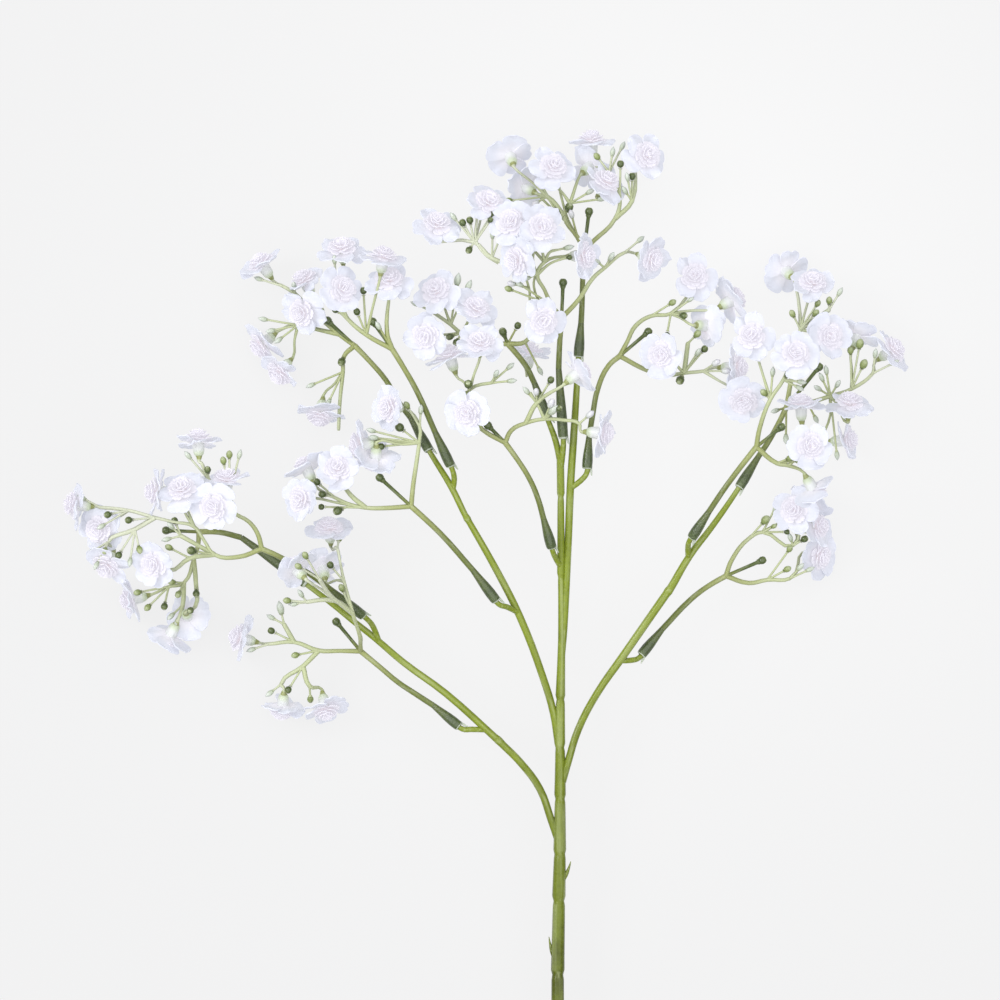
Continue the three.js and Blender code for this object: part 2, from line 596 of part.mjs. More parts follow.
function ballPeg(fork, end) {
  const before = towards(end, fork, ballRadius);
  const beyond = towards(end, fork, -ballRadius);
  return bar([fork, before, end, beyond], [limbRoot, pegRadius, ballRadius, 0], pegSides, true);
}

function sprayBody(spray) {
  const fork = spray.stem.at(-1);
  const place = (name) => vector(name === "fork" ? fork : spray.hubs[name]);
  const ended = spray.limbs.map((names) => spray.blooms.find(([hub]) => hub === names.at(-1)));
  let body = socketStem(spray, vector(fork));
  if (spray.ball) body = body.add(ballPeg(vector(fork), vector(spray.ball)));
  spray.limbs.forEach((names, i) => {
    body = body.add(limb(names.map(place), ended[i]));
  });
  spray.blooms.forEach((flower, i) => {
    body = body.add(bloomHead(flower, i * rollStep));
    if (!ended.includes(flower)) body = body.add(stalk(place(flower[0]), flower));
  });
  for (const [name, at, radius] of spray.buds) {
    body = body.add(bud(place(name), vector(at), radius));
  }
  return body;
}

function stemPath({ path, into }) {
  const points = path.map(vector);
  const radii = path.map((stop) => stop[3]);
  if (!into) return bar(points, radii, trunkSides);
  const [mouth, waist] = sprays[into].socket.map(vector);
  points.push(towards(mouth, waist, -stubLead), towards(mouth, waist, stubReach));
  radii.push(stubRadius, stubRadius);
  return bar(points, radii, path.length > 3 ? armSides : stubSides);
}

function mainStem() {
  let body = stemPaths.map(stemPath).reduce((whole, part) => whole.add(part));
  for (const { from, to, radius } of thorns) {
    body = body.add(bar([vector(from), vector(to)], [radius, thornTip], armSides));
  }
  return body;
}

const laid = new THREE.Group();
laid.add(mesh("main_stem", mainStem(), stemGreen));
for (const [name, spray] of Object.entries(sprays)) {
  laid.add(mesh(name, sprayBody(spray), bloomWhite));
}

// The origin lies under the middle of the whole part.
const middle = new THREE.Box3().setFromObject(laid).getCenter(new THREE.Vector3());
laid.position.set(-middle.x, -middle.y, 0);

const gypsophila = new THREE.Group();
gypsophila.add(laid);

export default gypsophila;
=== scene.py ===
import random
from math import cos, radians, sin

import bmesh
import bpy
from mathutils import Matrix, Vector


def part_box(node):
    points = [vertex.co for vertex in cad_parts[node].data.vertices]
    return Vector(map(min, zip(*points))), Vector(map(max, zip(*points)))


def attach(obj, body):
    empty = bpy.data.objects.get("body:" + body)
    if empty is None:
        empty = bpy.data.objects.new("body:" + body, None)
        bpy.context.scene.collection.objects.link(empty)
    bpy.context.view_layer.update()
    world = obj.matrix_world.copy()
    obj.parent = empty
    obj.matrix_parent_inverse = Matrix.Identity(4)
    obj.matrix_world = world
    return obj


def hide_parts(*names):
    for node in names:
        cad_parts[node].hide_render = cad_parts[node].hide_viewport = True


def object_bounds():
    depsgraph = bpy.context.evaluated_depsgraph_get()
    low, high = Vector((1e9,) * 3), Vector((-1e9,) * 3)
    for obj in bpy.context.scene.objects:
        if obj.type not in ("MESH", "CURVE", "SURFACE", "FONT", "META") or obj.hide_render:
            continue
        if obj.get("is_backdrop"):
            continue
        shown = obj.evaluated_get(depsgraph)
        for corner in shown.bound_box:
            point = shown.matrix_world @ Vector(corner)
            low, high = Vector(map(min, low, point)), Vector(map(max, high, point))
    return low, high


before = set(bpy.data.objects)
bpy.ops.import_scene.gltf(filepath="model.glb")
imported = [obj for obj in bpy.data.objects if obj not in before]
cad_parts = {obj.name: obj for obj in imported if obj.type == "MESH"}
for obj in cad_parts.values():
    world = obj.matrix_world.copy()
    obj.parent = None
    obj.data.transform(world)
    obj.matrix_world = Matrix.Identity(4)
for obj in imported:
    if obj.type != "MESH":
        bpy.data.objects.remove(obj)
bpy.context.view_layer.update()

# Gypsophila stem: a moulded branching stem with fourteen push-on sprays of blooms and buds.
# Sizes are in millimetres in the dictionaries and become metres where a piece is placed.
bpy.ops.object.select_all(action="DESELECT")
mm = 0.001
upward = Vector((0, 0, 1))
layoutShift = Vector((25.5479, -52.6417, 0))  # brings the layout's middle to the part's origin
touch = 0.01  # a vertex this near to a line is on it
weldDistance = 0.002 * mm


def laid(point):
    return (Vector(point[:3]) + layoutShift) * mm


def facing(turn, lift):
    # Unit vector, `turn` degrees round from +X and `lift` degrees up
    around, above = radians(turn), radians(lift)
    return Vector((cos(above) * cos(around), cos(above) * sin(around), sin(above)))


def along(start, end, distance):
    return start + (end - start).normalized() * distance * mm


def standing(foot, direction):
    # Stands what is modelled along +Z on its foot, pointing that way
    return Matrix.Translation(foot) @ upward.rotation_difference(direction).to_matrix().to_4x4()


def turned(degrees, axis):
    return Matrix.Rotation(radians(degrees), 4, axis)


def chosen(*pieces):
    # Selects these pieces alone and makes the first of them active
    bpy.ops.object.select_all(action="DESELECT")
    for piece in pieces:
        piece.select_set(True)
    bpy.context.view_layer.objects.active = pieces[0]
    return pieces[0]


def editMode(piece):
    # Enters edit mode with every vertex selected
    chosen(piece)
    bpy.ops.object.mode_set(mode="EDIT")
    bpy.ops.mesh.select_mode(type="VERT")
    bpy.ops.mesh.select_all(action="SELECT")


def shaped(piece, *materials):
    # Leaves edit mode, and gives a new piece its materials
    bpy.ops.object.mode_set(mode="OBJECT")
    for material in materials:
        piece.data.materials.append(material)
    return piece


def pick(piece, wanted):
    # Selects the vertices whose place passes the test, with the edges and faces between them
    bpy.ops.mesh.select_all(action="DESELECT")
    shape = bmesh.from_edit_mesh(piece.data)
    for vert in shape.verts:
        vert.select_set(wanted(vert.co))
    shape.select_flush(True)
    bmesh.update_edit_mesh(piece.data)


def move(*by):
    bpy.ops.transform.translate(value=by)


def widen(*by):
    bpy.ops.transform.resize(value=by)


def drawRings(height, radius, rows):
    # Extrudes the selected ring along Z through rows of [height, radius]
    for nextHeight, nextRadius in rows:
        bpy.ops.mesh.extrude_region_move(TRANSFORM_OT_translate={"value": (0, 0, nextHeight - height)})
        widen(nextRadius / radius, nextRadius / radius, 1)
        height, radius = nextHeight, nextRadius


def applied(piece, kind, **values):
    modifier = piece.modifiers.new(kind.title(), kind)
    for name, value in values.items():
        setattr(modifier, name, value)
    bpy.context.view_layer.objects.active = piece
    bpy.ops.object.modifier_apply(modifier=modifier.name)


def copied(piece, matrix):
    copy = piece.copy()
    copy.data = piece.data.copy()
    bpy.context.collection.objects.link(copy)
    copy.data.transform(matrix)
    return copy


def joined(name, parts):
    whole = chosen(*parts)
    if len(parts) > 1:
        bpy.ops.object.join()
    whole.name = whole.data.name = name
    return whole


def smoothed(piece, degrees):
    chosen(piece)
    bpy.ops.object.shade_smooth_by_angle(angle=radians(degrees))
    return piece


def cleaned(piece):
    editMode(piece)
    bpy.ops.mesh.remove_doubles(threshold=weldDistance)
    bpy.ops.mesh.normals_make_consistent(inside=False)
    return shaped(piece)


def written(piece, name, valueAt):
    # Stores a number for each vertex, which the materials read as an attribute
    numbers = piece.data.attributes.new(name, "FLOAT", "POINT")
    for i, vert in enumerate(piece.data.vertices):
        numbers.data[i].value = valueAt(vert.co)


def keptAbove(piece, least):
    for vert in piece.data.vertices:
        vert.co.z = max(vert.co.z, least)


def removed(*parts):
    for part in parts:
        bpy.data.meshes.remove(part.data)


plastic = {
    "highlightShowing": (0.48, 0.7),  # from nothing to the full depth of the painted highlight streaks
    "bumpDepth": 0.2,
    "ior": 1.46,
    "paintedGlowBase": 0.4,  # emission strength of every material with a painted glow, whose colour carries the rest
}


def tone(code):
    # A colour written as six hex digits, as the shader's own numbers
    parts = [int(code[i:i + 2], 16) / 255 for i in (0, 2, 4)]
    return [p / 12.92 if p < 0.04045 else ((p + 0.055) / 1.055) ** 2.4 for p in parts] + [1]


def fed(node, inputs):
    # Each input gets its value, or a link where an output is given
    for name, value in dict(inputs).items():
        if isinstance(value, bpy.types.NodeSocket):
            node.id_data.links.new(value, node.inputs[name])
        else:
            node.inputs[name].default_value = value


def added(tree, kind, output, inputs=(), **settings):
    # A new node with its settings and inputs, handed on as its named output
    node = tree.nodes.new("ShaderNode" + kind)
    for name, value in settings.items():
        setattr(node, name, value)
    fed(node, inputs)
    return node.outputs[output]


def makeGrainGroup():
    # Cloudy mottle and fine streaks of moulded plastic, in object space
    group = bpy.data.node_groups.new("mouldGrain", "ShaderNodeTree")
    for way, names in (("INPUT", ("Mottle Scale", "Streak Scale")), ("OUTPUT", ("Mottle", "Streak"))):
        for name in names:
            group.interface.new_socket(name, in_out=way, socket_type="NodeSocketFloat")
    scales, out = group.nodes.new("NodeGroupInput").outputs, group.nodes.new("NodeGroupOutput")
    place = added(group, "TexCoord", "Object")
    fed(out, {
        "Mottle": added(group, "TexNoise", "Fac", {
            "Vector": place, "Scale": scales["Mottle Scale"], "Detail": 3}),
        "Streak": added(group, "TexNoise", "Fac", {
            "Vector": place, "Scale": scales["Streak Scale"], "Detail": 4, "Distortion": 0.6})})
    return group


mouldGrain = makeGrainGroup()


def gradedPlastic(name, colours, mottle, streak, roughness, glow, attribute="reach", bump=0.2,
                  paintedGlow=0, specular=0.5, highlightStreaks=None):
    # Its colour runs along a ramp by an attribute. Mottle and streak are [strength, scale],
    # glow is [share, depth in mm] and the painted highlight streaks are [stretch, colour, depth]
    material = bpy.data.materials.new(name)
    material.use_nodes = True
    tree = material.node_tree
    cloud = added(tree, "Group", "Mottle", {"Mottle Scale": mottle[1], "Streak Scale": streak[1]},
                  node_tree=mouldGrain)
    fine = cloud.node.outputs["Streak"]
    place = added(tree, "Attribute", "Fac", attribute_name=attribute)
    shifted = added(tree, "Math", "Value", {0: cloud, 1: mottle[0], 2: place}, operation="MULTIPLY_ADD")
    ramp = added(tree, "ValToRGB", "Color", {"Fac": shifted})
    ramp.node.color_ramp.interpolation = "EASE"
    stops = ramp.node.color_ramp.elements
    for i, (at, code) in enumerate(colours):
        stop = stops[i] if i < 2 else stops.new(at)
        stop.position, stop.color = at, tone(code)
    colour = added(tree, "Mix", "Result", {"Factor": streak[0], "A": ramp, "B": fine},
                   data_type="RGBA", blend_type="SOFT_LIGHT")

    if highlightStreaks:  # painted highlight streaks along a drawn bar, whose UV runs along it and round it
        stretch, highlightColour, depth = highlightStreaks
        least, most = plastic["highlightShowing"]
        stretched = added(tree, "VectorMath", "Vector", {0: added(tree, "TexCoord", "UV"), 1: stretch},
                          operation="MULTIPLY")
        highlightNoise = added(tree, "TexNoise", "Fac", {"Vector": stretched, "Scale": 1, "Detail": 3})
        showing = added(tree, "MapRange", "Result", {
            "Value": highlightNoise, "From Min": least, "From Max": most, "To Max": depth})
        colour = added(tree, "Mix", "Result", {"Factor": showing, "A": colour, "B": tone(highlightColour)},
                       data_type="RGBA")

    shader = tree.nodes["Principled BSDF"]
    fed(shader, {
        "Base Color": colour,
        "Roughness": added(tree, "MapRange", "Result", {
            "Value": cloud, "To Min": roughness[0], "To Max": roughness[1]}),
        "Normal": added(tree, "Bump", "Normal", {
            "Height": fine, "Strength": bump, "Distance": plastic["bumpDepth"] * mm}),
        "IOR": plastic["ior"], "Specular IOR Level": specular, "Subsurface Weight": glow[0],
        "Subsurface Radius": (1, 1, 1), "Subsurface Scale": glow[1] * mm})
    if paintedGlow:  # painted glow: emission of the ramp's own colour stands in for light coming through the thin plastic
        base = plastic["paintedGlowBase"]
        paintedGlowColour = added(tree, "VectorMath", "Vector", {0: ramp, "Scale": paintedGlow / base}, operation="SCALE")
        fed(shader, {"Emission Color": paintedGlowColour, "Emission Strength": base})
    return material


bloom = {
    "petals": 5,
    "reach": 8.4,
    "thickness": 0.4,
    "petalRows": [  # place along the petal, half its width there, rise
        (0.5, 0.8, -0.1), (2.6, 2.7, 0), (4.8, 4.2, 0.15),
        (6.5, 4.6, 0.35), (7.8, 3.7, 0.4), (8.5, 1.9, 0.3)],
    "petalKinds": [  # hollow down the middle, push of the tip's middle, skew and width of the outer half
        (0.4, -0.6, 0.5, 1.02), (0.9, 0.9, -0.8, 0.82), (-0.5, 0.3, 0.4, 1.06), (0.2, -0.9, -0.2, 0.96),
        (-1.2, 0.8, 0.7, 0.74)],
    "petalColumns": 4,
    "hollowFrom": 1,  # how far out the hollow, the outer half and the tip begin
    "outerFrom": 5,
    "tipFrom": 8.3,
    "tipRise": 0.1,
    "petalLength": 0.98,
    "petalSpread": (1.5, 7, 0.12, 0.06),  # lean as a share of the kind's own, wheel, width, length
    "ripple": (3.2, 1.5),  # size, height
    "frillRows": [(0.5, 0.6, 0), (1.9, 1.35, 0.1), (3.4, 1.95, -0.1), (4.5, 1.85, -0.5)],
    "frillColumns": 6,
    "frillHollow": 0.25,
    "frillTooth": (0, 0.45, -0.1),  # push of every other vertex of the edge
    "frillCorner": (0, -0.5, 0.3),
    "frillThickness": 0.24,
    "frillShift": 0.17,  # turn of a tier by each petal in it, as a share of a step
    "frillRise": 0.3,
    "frillSpread": (9, 7, 16, 0.07),  # turn, lean, roll, size
    "tiers": [  # number of frilled petals, place from the middle, lean up, size
        (7, 0.9, 20, 0.86), (6, 0.6, 42, 0.86), (5, 0.3, 60, 0.88), (4, 0.1, 76, 0.9), (2, -0.4, 90, 0.88)],
    "calyxRows": [(-4.8, 1.25), (-4.2, 1.7), (-3.1, 2.0), (-1.5, 2.1), (-0.1, 2.2)],  # height, radius
    "calyxLength": 4.8,
    "calyxSides": 10,
    "kinds": [(2, 7, 5), (-8, 5, 9), (9, 8, 9), (-1, 10, 13), (4, -8, 11)],  # petal pitch, tilt, looseness
    "seed": 4,
    "rollStep": 137.5,
    "smoothAngle": 55,
    "tableGap": 0.05,
}
# Petals, frills and calyx carry a painted glow: emission of their own colour that stands in for light through
# the thin plastic
petalWhite = gradedPlastic(
    "petalWhite", [(0, "b1acb1"), (0.45, "adacb2"), (1, "a5a7b0")], mottle=(0.25, 320),
    streak=(0.06, 1500), roughness=(0.45, 0.62), glow=(0.3, 0.6), paintedGlow=0.76, specular=0.3)
frillBlush = gradedPlastic(
    "frillBlush", [(0, "b1a4a7"), (0.25, "afa9ae"), (0.55, "aba9b0")], mottle=(0.2, 700),
    streak=(0.05, 2500), roughness=(0.5, 0.7), bump=0.15, glow=(0.3, 0.6), paintedGlow=0.86, specular=0.2)
calyxMilk = gradedPlastic(
    "calyxMilk", [(0, "bbbcbf"), (0.4, "b7b9b9"), (0.62, "a4ad96")], mottle=(0.1, 500),
    streak=(0.06, 1800), roughness=(0.3, 0.45), glow=(0.4, 1.5), paintedGlow=0.3)


def shapedSheet(columns, rows, hollow):
    # A grid whose rows are widened and laid out along +Y, hollowed down its middle
    steps = len(rows) - 1
    bpy.ops.mesh.primitive_grid_add(x_subdivisions=columns, y_subdivisions=steps, size=1)
    sheet = bpy.context.object
    editMode(sheet)
    for i, (length, halfWidth, rise) in reversed(list(enumerate(rows))):
        start = i / steps - 0.5
        pick(sheet, lambda co: abs(co.y - start) < touch)
        widen(2 * halfWidth, 1, 1)
        move(0, length - start, rise)
    pick(sheet, lambda co: abs(co.x) < touch and co.y > bloom["hollowFrom"])
    move(0, 0, -hollow)
    return sheet


def makePetal(hollow, tip, skew, width):
    petal = shapedSheet(bloom["petalColumns"], bloom["petalRows"], hollow)
    pick(petal, lambda co: abs(co.x) < touch and co.y > bloom["tipFrom"])
    move(0, tip, bloom["tipRise"])
    pick(petal, lambda co: co.y > bloom["outerFrom"])
    widen(width, 1, 1)
    move(skew, 0, 0)
    shaped(petal, petalWhite)
    applied(petal, "SUBSURF", levels=1, render_levels=1)
    return petal


def makeFrill():
    columns, rows = bloom["frillColumns"], bloom["frillRows"]
    frill = shapedSheet(columns, rows, bloom["frillHollow"])
    edge, halfWidth = rows[-1][0] - touch, rows[-1][1]
    pick(frill, lambda co: co.y > edge and round((co.x / halfWidth + 1) * columns / 2) % 2 == 0)
    move(*bloom["frillTooth"])
    pick(frill, lambda co: co.y > edge and abs(abs(co.x) - halfWidth) < touch)
    move(*bloom["frillCorner"])
    return shaped(frill, frillBlush)


def makeCalyx():
    height, radius = bloom["calyxRows"][0]
    bpy.ops.mesh.primitive_circle_add(vertices=bloom["calyxSides"], radius=radius, fill_type="NGON")
    calyx = bpy.context.object
    editMode(calyx)
    move(0, 0, height)
    drawRings(height, radius, bloom["calyxRows"][1:])
    return cleaned(shaped(calyx, calyxMilk))


def makeBloom(number):
    pitch, tilt, loose = bloom["kinds"][number]
    chance = random.Random(number + bloom["seed"])

    def spread(amount):
        return chance.uniform(-amount, amount)

    petals = []
    byLean, byWheel, byWidth, byLength = bloom["petalSpread"]
    for i in range(bloom["petals"]):
        turn = turned(360 / bloom["petals"] * i - 90 + spread(loose), "Z")
        lean = turned(pitch + spread(loose * byLean), "X")
        wheel = turned(tilt + spread(byWheel), "Y")
        size = Matrix.Diagonal((1 + spread(byWidth), bloom["petalLength"] + spread(byLength), 1, 1))
        petals.append(copied(chance.choice(petalModels), turn @ lean @ wheel @ size))
    petals = joined("petals", petals)
    ripple = bpy.data.textures.new("ripple", "CLOUDS")
    ripple.noise_scale, height = bloom["ripple"]
    applied(petals, "DISPLACE", texture=ripple, strength=height, direction="Z", texture_coords="LOCAL")
    applied(petals, "SOLIDIFY", thickness=bloom["thickness"], offset=0)
    frills = []
    byTurn, byLean, byRoll, bySize = bloom["frillSpread"]
    for count, start, lean, size in bloom["tiers"]:
        out = Matrix.Translation((0, start, bloom["frillRise"]))
        for i in range(count):
            turn = turned(360 / count * (i + count * bloom["frillShift"]) + spread(byTurn), "Z")
            up = turned(lean + spread(byLean), "X")
            roll = turned(spread(byRoll), "Y")
            scale = Matrix.Scale(size * (1 + spread(bySize)), 4)
            frills.append(copied(frillModel, turn @ out @ up @ roll @ scale))
    frills = joined("frills", frills)
    applied(frills, "SOLIDIFY", thickness=bloom["frillThickness"], offset=0)
    made = joined("bloom" + str(number), [petals, frills, copied(calyxModel, Matrix())])
    written(made, "reach", lambda co: co.length / bloom["reach"])
    return smoothed(made, bloom["smoothAngle"])


petalModels = [makePetal(*kind) for kind in bloom["petalKinds"]]
frillModel, calyxModel = makeFrill(), makeCalyx()
bloomModels = [makeBloom(number) for number in range(len(bloom["kinds"]))]
removed(*petalModels, frillModel, calyxModel)
print("blooms modelled:", len(bloomModels))

bud = {
    "kinds": {  # half length and width as shares of the radius, push of the tip, usual radius
        "dark": (1.08, 1.0, -0.12, 1.3), "green": (1.22, 0.98, 0.1, 1.2),
        "pale": (1.5, 0.85, 0.35, 1.1), "white": (1.5, 0.95, 0.2, 1.1)},
    "tipFrom": 0.95,
    "smoothAngle": 80,
}
budSkins = {
    # The olive bud's pale last stop, at its tip, is a painted highlight, and the peg balls use it too
    "dark": gradedPlastic(
        "budOlive", [(0, "3a4720"), (0.55, "455229"), (0.93, "586337"), (1, "9ca483")],
        mottle=(0.08, 500), streak=(0.2, 1500), roughness=(0.08, 0.2), glow=(0.1, 0.8), specular=0.6),
    "green": gradedPlastic(
        "budLime", [(0, "68753b"), (0.6, "7b8754"), (1, "969f79")],
        mottle=(0.3, 500), streak=(0.12, 1500), roughness=(0.22, 0.36), glow=(0.2, 1.0)),
    "pale": gradedPlastic(
        "budMint", [(0, "949f80"), (0.5, "a6ae9d"), (1, "b1b7af")],
        mottle=(0.25, 500), streak=(0.08, 1500), roughness=(0.25, 0.4), glow=(0.35, 1.2)),
    "white": gradedPlastic(
        "budMilk", [(0, "b0b5ac"), (0.5, "bbbdbd"), (1, "bfbec4")],
        mottle=(0.2, 500), streak=(0.06, 1500), roughness=(0.3, 0.45), glow=(0.4, 1.2)),
}


def makeBud(kind):
    # An oval along +Z of radius 1, its tip drawn out or pressed in
    halfLength, width, tip, _ = bud["kinds"][kind]
    bpy.ops.mesh.primitive_uv_sphere_add(segments=8, ring_count=6, radius=1)
    oval = bpy.context.object
    editMode(oval)
    widen(width, width, halfLength)
    pick(oval, lambda co: co.z > halfLength * bud["tipFrom"])
    move(0, 0, tip)
    shaped(oval, budSkins[kind])
    written(oval, "reach", lambda co: co.z / halfLength * 0.5 + 0.5)
    return smoothed(oval, bud["smoothAngle"])


budModels = {kind: makeBud(kind) for kind in bud["kinds"]}
print("buds modelled:", len(budModels))

# Where everything stands, in millimetres of the layout. Each spray has its socket's mouth and waist,
# its stem up to the fork and the ball of its peg. A limb starts at the fork, or at the hub it names,
# and runs on through hubs of its own: a1, a2 and so on are those of limb a. A twig is a list of hubs
# or places, and a bloom is [hub, x, y, z of the petals' middle, turn, lift]. A bud is [hub, x, y, z],
# with its kind unless it is pale, and its radius where that isn't the kind's usual one.
sprays = {}
sprays["spray_left_low"] = dict(
    socket=[(-35.3, 95.4, 15.6), (-44.5, 102.8, 14.5)],
    stem=[(-51, 107, 14), (-57, 111, 13.5), (-63, 116, 13), (-70, 121.8, 13)],
    ball=(-78.6, 132.2, 13),
    limbs=dict(a=[(-84.8, 122, 12), (-93.5, 125, 11.5), (-102.5, 124.3, 10.5)], b=["a2", (-97, 131.3, 13)],
        c=["a1", (-90.3, 116.5, 12), (-98, 110.2, 11)], d=["c1", (-88, 109.5, 12)],
        e=[(-70, 127, 24), (-72.5, 135.5, 32.5), (-74, 141, 33), (-75.5, 146.5, 32), (-78, 158, 27)],
        f=["e2", (-80, 141.5, 40), (-83.8, 147.5, 47)], g=["e2", (-78.5, 139.8, 35), (-88.5, 139.4, 36)]),
    blooms=[("a3", -112, 126.3, 8.33, 165, 10), ("c2", -97.5, 102.3, 9.5, 265, -25),
        ("d1", -82.5, 102, 11, 282, 22), ("f1", -92, 151, 44, 135, -35), ("e4", -83, 151.2, 21, 100, -40),
        ("e5", -80.8, 164.5, 23, 95, 28)],
    buds=[("b1", -98.2, 136.8, 14, "pale", 1.6), ("b1", -101.5, 133.7, 12), ("a2", -101.5, 129, 12.5, "dark"),
        ("a3", -108.5, 122.3, 11), ("a1", -93, 120.4, 13, "green"), ("c2", -102, 107, 12),
        ("c1", -95.5, 108.2, 14, "dark"), ("d1", -87.8, 104.8, 9, "green"), ("e5", -77.4, 161.5, 24, "green"),
        ("f2", -91, 152, 53, "green"), ("f2", -88.6, 155.8, 52, "green"), ("g2", -95.3, 139.9, 36, "green"),
        ("g2", -93, 138.7, 35), ("g2", -90.5, 142.3, 37.5), ("e4", -80.3, 152.3, 33, "dark"),
        ("e2", -76.3, 144.3, 35, "green")])
sprays["spray_left_front"] = dict(
    socket=[(-69, 134.4, 23), (-80, 143.5, 30)],
    stem=[(-88, 149.5, 35), (-98, 155.3, 40), (-104, 158, 42)],
    limbs=dict(a=[(-105.5, 163.5, 43), (-108.5, 167.5, 44), (-113.8, 171, 44), (-115.2, 177, 42),
            (-122.3, 182, 44), (-125, 188, 45)],
        b=[(-112, 155.2, 43), (-120.4, 156, 44), (-127.5, 165.8, 46), (-141, 168.9, 47), (-150.3, 171.4, 47),
            (-160.3, 172.5, 46)], c=["b4", (-148, 164.8, 46), (-157.5, 160.3, 45)],
        d=["b2", (-129, 154.7, 43), (-136.2, 150.5, 41)], e=["b2", (-132, 162.5, 44)]),
    blooms=[("a4", -116.2, 181.5, 43, 90, 25), ("a6", -126, 195.2, 45, 93, 0),
        ("a3", -120.5, 172.5, 52, 180, 80), ("b3", -131.5, 178.2, 50, 100, 50),
        ("b3", -140, 177.8, 47, 180, 5), ("b6", -168.2, 173.3, 46, 175, 5),
        ("b5", -160.3, 164.8, 44, 200, 62), ("c2", -157.5, 152.8, 46, 245, 40),
        ("d2", -141.2, 152.8, 46, 200, 70)],
    buds=[("a4", -117.3, 188.7, 44, "green"), ("a4", -115.2, 190.8, 44, "green"), ("a4", -111.7, 190.8, 43),
        ("a5", -129.5, 190.5, 46), ("a5", -122.7, 185.5, 47, "dark"), ("b6", -166.3, 175.8, 47),
        ("b5", -157.3, 169.9, 50, "dark"), ("b5", -159.5, 165.8, 50), ("b4", -150, 168, 50, "dark"),
        ("c1", -153.5, 155.8, 49, "dark"), ("c1", -146.3, 157.7, 48, "green"), ("c1", -149.5, 153.5, 50),
        ("c2", -163, 157, 47), ("c2", -158.3, 157.3, 49, "green"), ("c2", -161.2, 152.3, 50),
        ("e1", -135.5, 166, 46), ("e1", -137, 161.3, 45), ("e1", -134.2, 167.8, 45, "dark"),
        ("d1", -136.2, 158.5, 45, "green"), ("b2", -128.2, 157.4, 49, "dark", 1.6), ("d2", -139, 151, 44)])
sprays["spray_left_back"] = dict(
    socket=[(-89.3, 145.5, 14), (-112, 161.8, 12.5)],
    stem=[(-120, 163.7, 12), (-127, 163.8, 12)],
    ball=(-138.5, 164.3, 12),
    limbs=dict(a=[(-127.3, 159, 12), (-128.8, 154, 12), (-132.3, 145.8, 12), (-137.6, 144.5, 12)],
        b=["a3", (-132.7, 138, 11)], c=["a2", (-128, 146, 13), (-128.2, 137.5, 14)]),
    blooms=[("a4", -150.2, 140, 8.33, 195, 10), ("b1", -137, 127.4, 11, 243, -22),
        ("c2", -131, 134.2, 9.5, 290, -78)],
    buds=[("a4", -148.4, 142.5, 16, "green"), ("a4", -144.9, 137.2, 14, "green"),
        ("a4", -139, 137.6, 15, "dark"), ("a3", -136.5, 146.2, 15, "green"),
        ("a3", -134.1, 141.8, 16, "green"), ("b1", -134.8, 132, 13), ("b1", -136.8, 134.1, 12),
        ("c1", -127.8, 142.1, 15, "dark"), ("c2", -129.7, 136.2, 18, "dark")])
sprays["spray_mid_left"] = dict(
    socket=[(-22.3, 139.7, 28.5), (-30.5, 150.5, 31)],
    stem=[(-42, 163.5, 35), (-52, 172.8, 38)],
    ball=(-62.9, 182.8, 40),
    limbs=dict(a=[(-61, 172.2, 38), (-67.8, 172.3, 38), (-72.8, 173.3, 38), (-78.5, 175.8, 39)],
        b=["a2", (-73.3, 177, 39)],
        c=[(-51.3, 180, 38), (-50, 189, 37.5), (-49.2, 195, 38), (-49, 200.5, 39)]),
    blooms=[("b1", -77.4, 185.6, 42, 100, 65), ("a4", -88.5, 185.8, 36, 117, -18),
        ("a3", -89.6, 175.2, 43, 185, 50), ("c3", -64.4, 189.5, 39, 265, -35),
        ("c3", -69, 194.2, 40, 195, -15), ("c4", -58.8, 207, 41, 180, 45)],
    buds=[("a4", -83, 177, 41, "dark"), ("a4", -84.8, 181.3, 41, "dark"),
        ("a3", -77.6, 171.2, 40, "dark", 1.6), ("a2", -83.3, 172.6, 39, "dark", 1.1),
        ("c3", -65.8, 199.2, 43), ("c3", -65, 196.7, 43, "pale", 1.2), ("c3", -62.5, 193.6, 41, "dark"),
        ("c3", -56, 200.3, 40, "dark", 1.6), ("c4", -48.6, 206.4, 40), ("c4", -53.5, 208, 41, "green")])
sprays["spray_top_left_back"] = dict(
    socket=[(-45.8, 192.3, 27.2), (-52.3, 203.8, 24)],
    stem=[(-57, 210, 22), (-61, 217, 20.5), (-67, 224, 19), (-72, 229.2, 18)],
    ball=(-81.5, 238, 18),
    limbs=dict(a=[(-75.8, 225.5, 16), (-76.2, 220, 15), (-77.3, 210, 13), (-77.8, 200, 12)],
        b=[(-77.5, 233.2, 17), (-84.3, 239, 16), (-93, 247.5, 16), (-97, 250, 16)],
        c=["b1", (-92, 236.5, 14)]),
    blooms=[("a2", -84.3, 205.5, 11, 260, 20), ("c1", -104.5, 230, 8.24, 220, 10),
        ("c1", -98, 220.5, 11, 230, 25), ("b2", -90.3, 241, 19, 200, 55), ("b2", -89.5, 251.5, 14, 120, 20),
        ("b4", -104.5, 257.5, 14, 125, 20)],
    buds=[("a1", -76.6, 223.5, 17.5, "dark", 1.5), ("b2", -83.8, 241.5, 19, "green"),
        ("b2", -86.3, 237, 17, "dark"), ("b3", -93.3, 250.3, 19), ("b4", -105.8, 252.8, 13),
        ("c1", -104.2, 238.6, 14), ("c1", -101.5, 234.5, 15), ("c1", -98.8, 231.2, 16),
        ("a2", -87.5, 215.3, 15), ("a2", -81.3, 209.3, 15)])
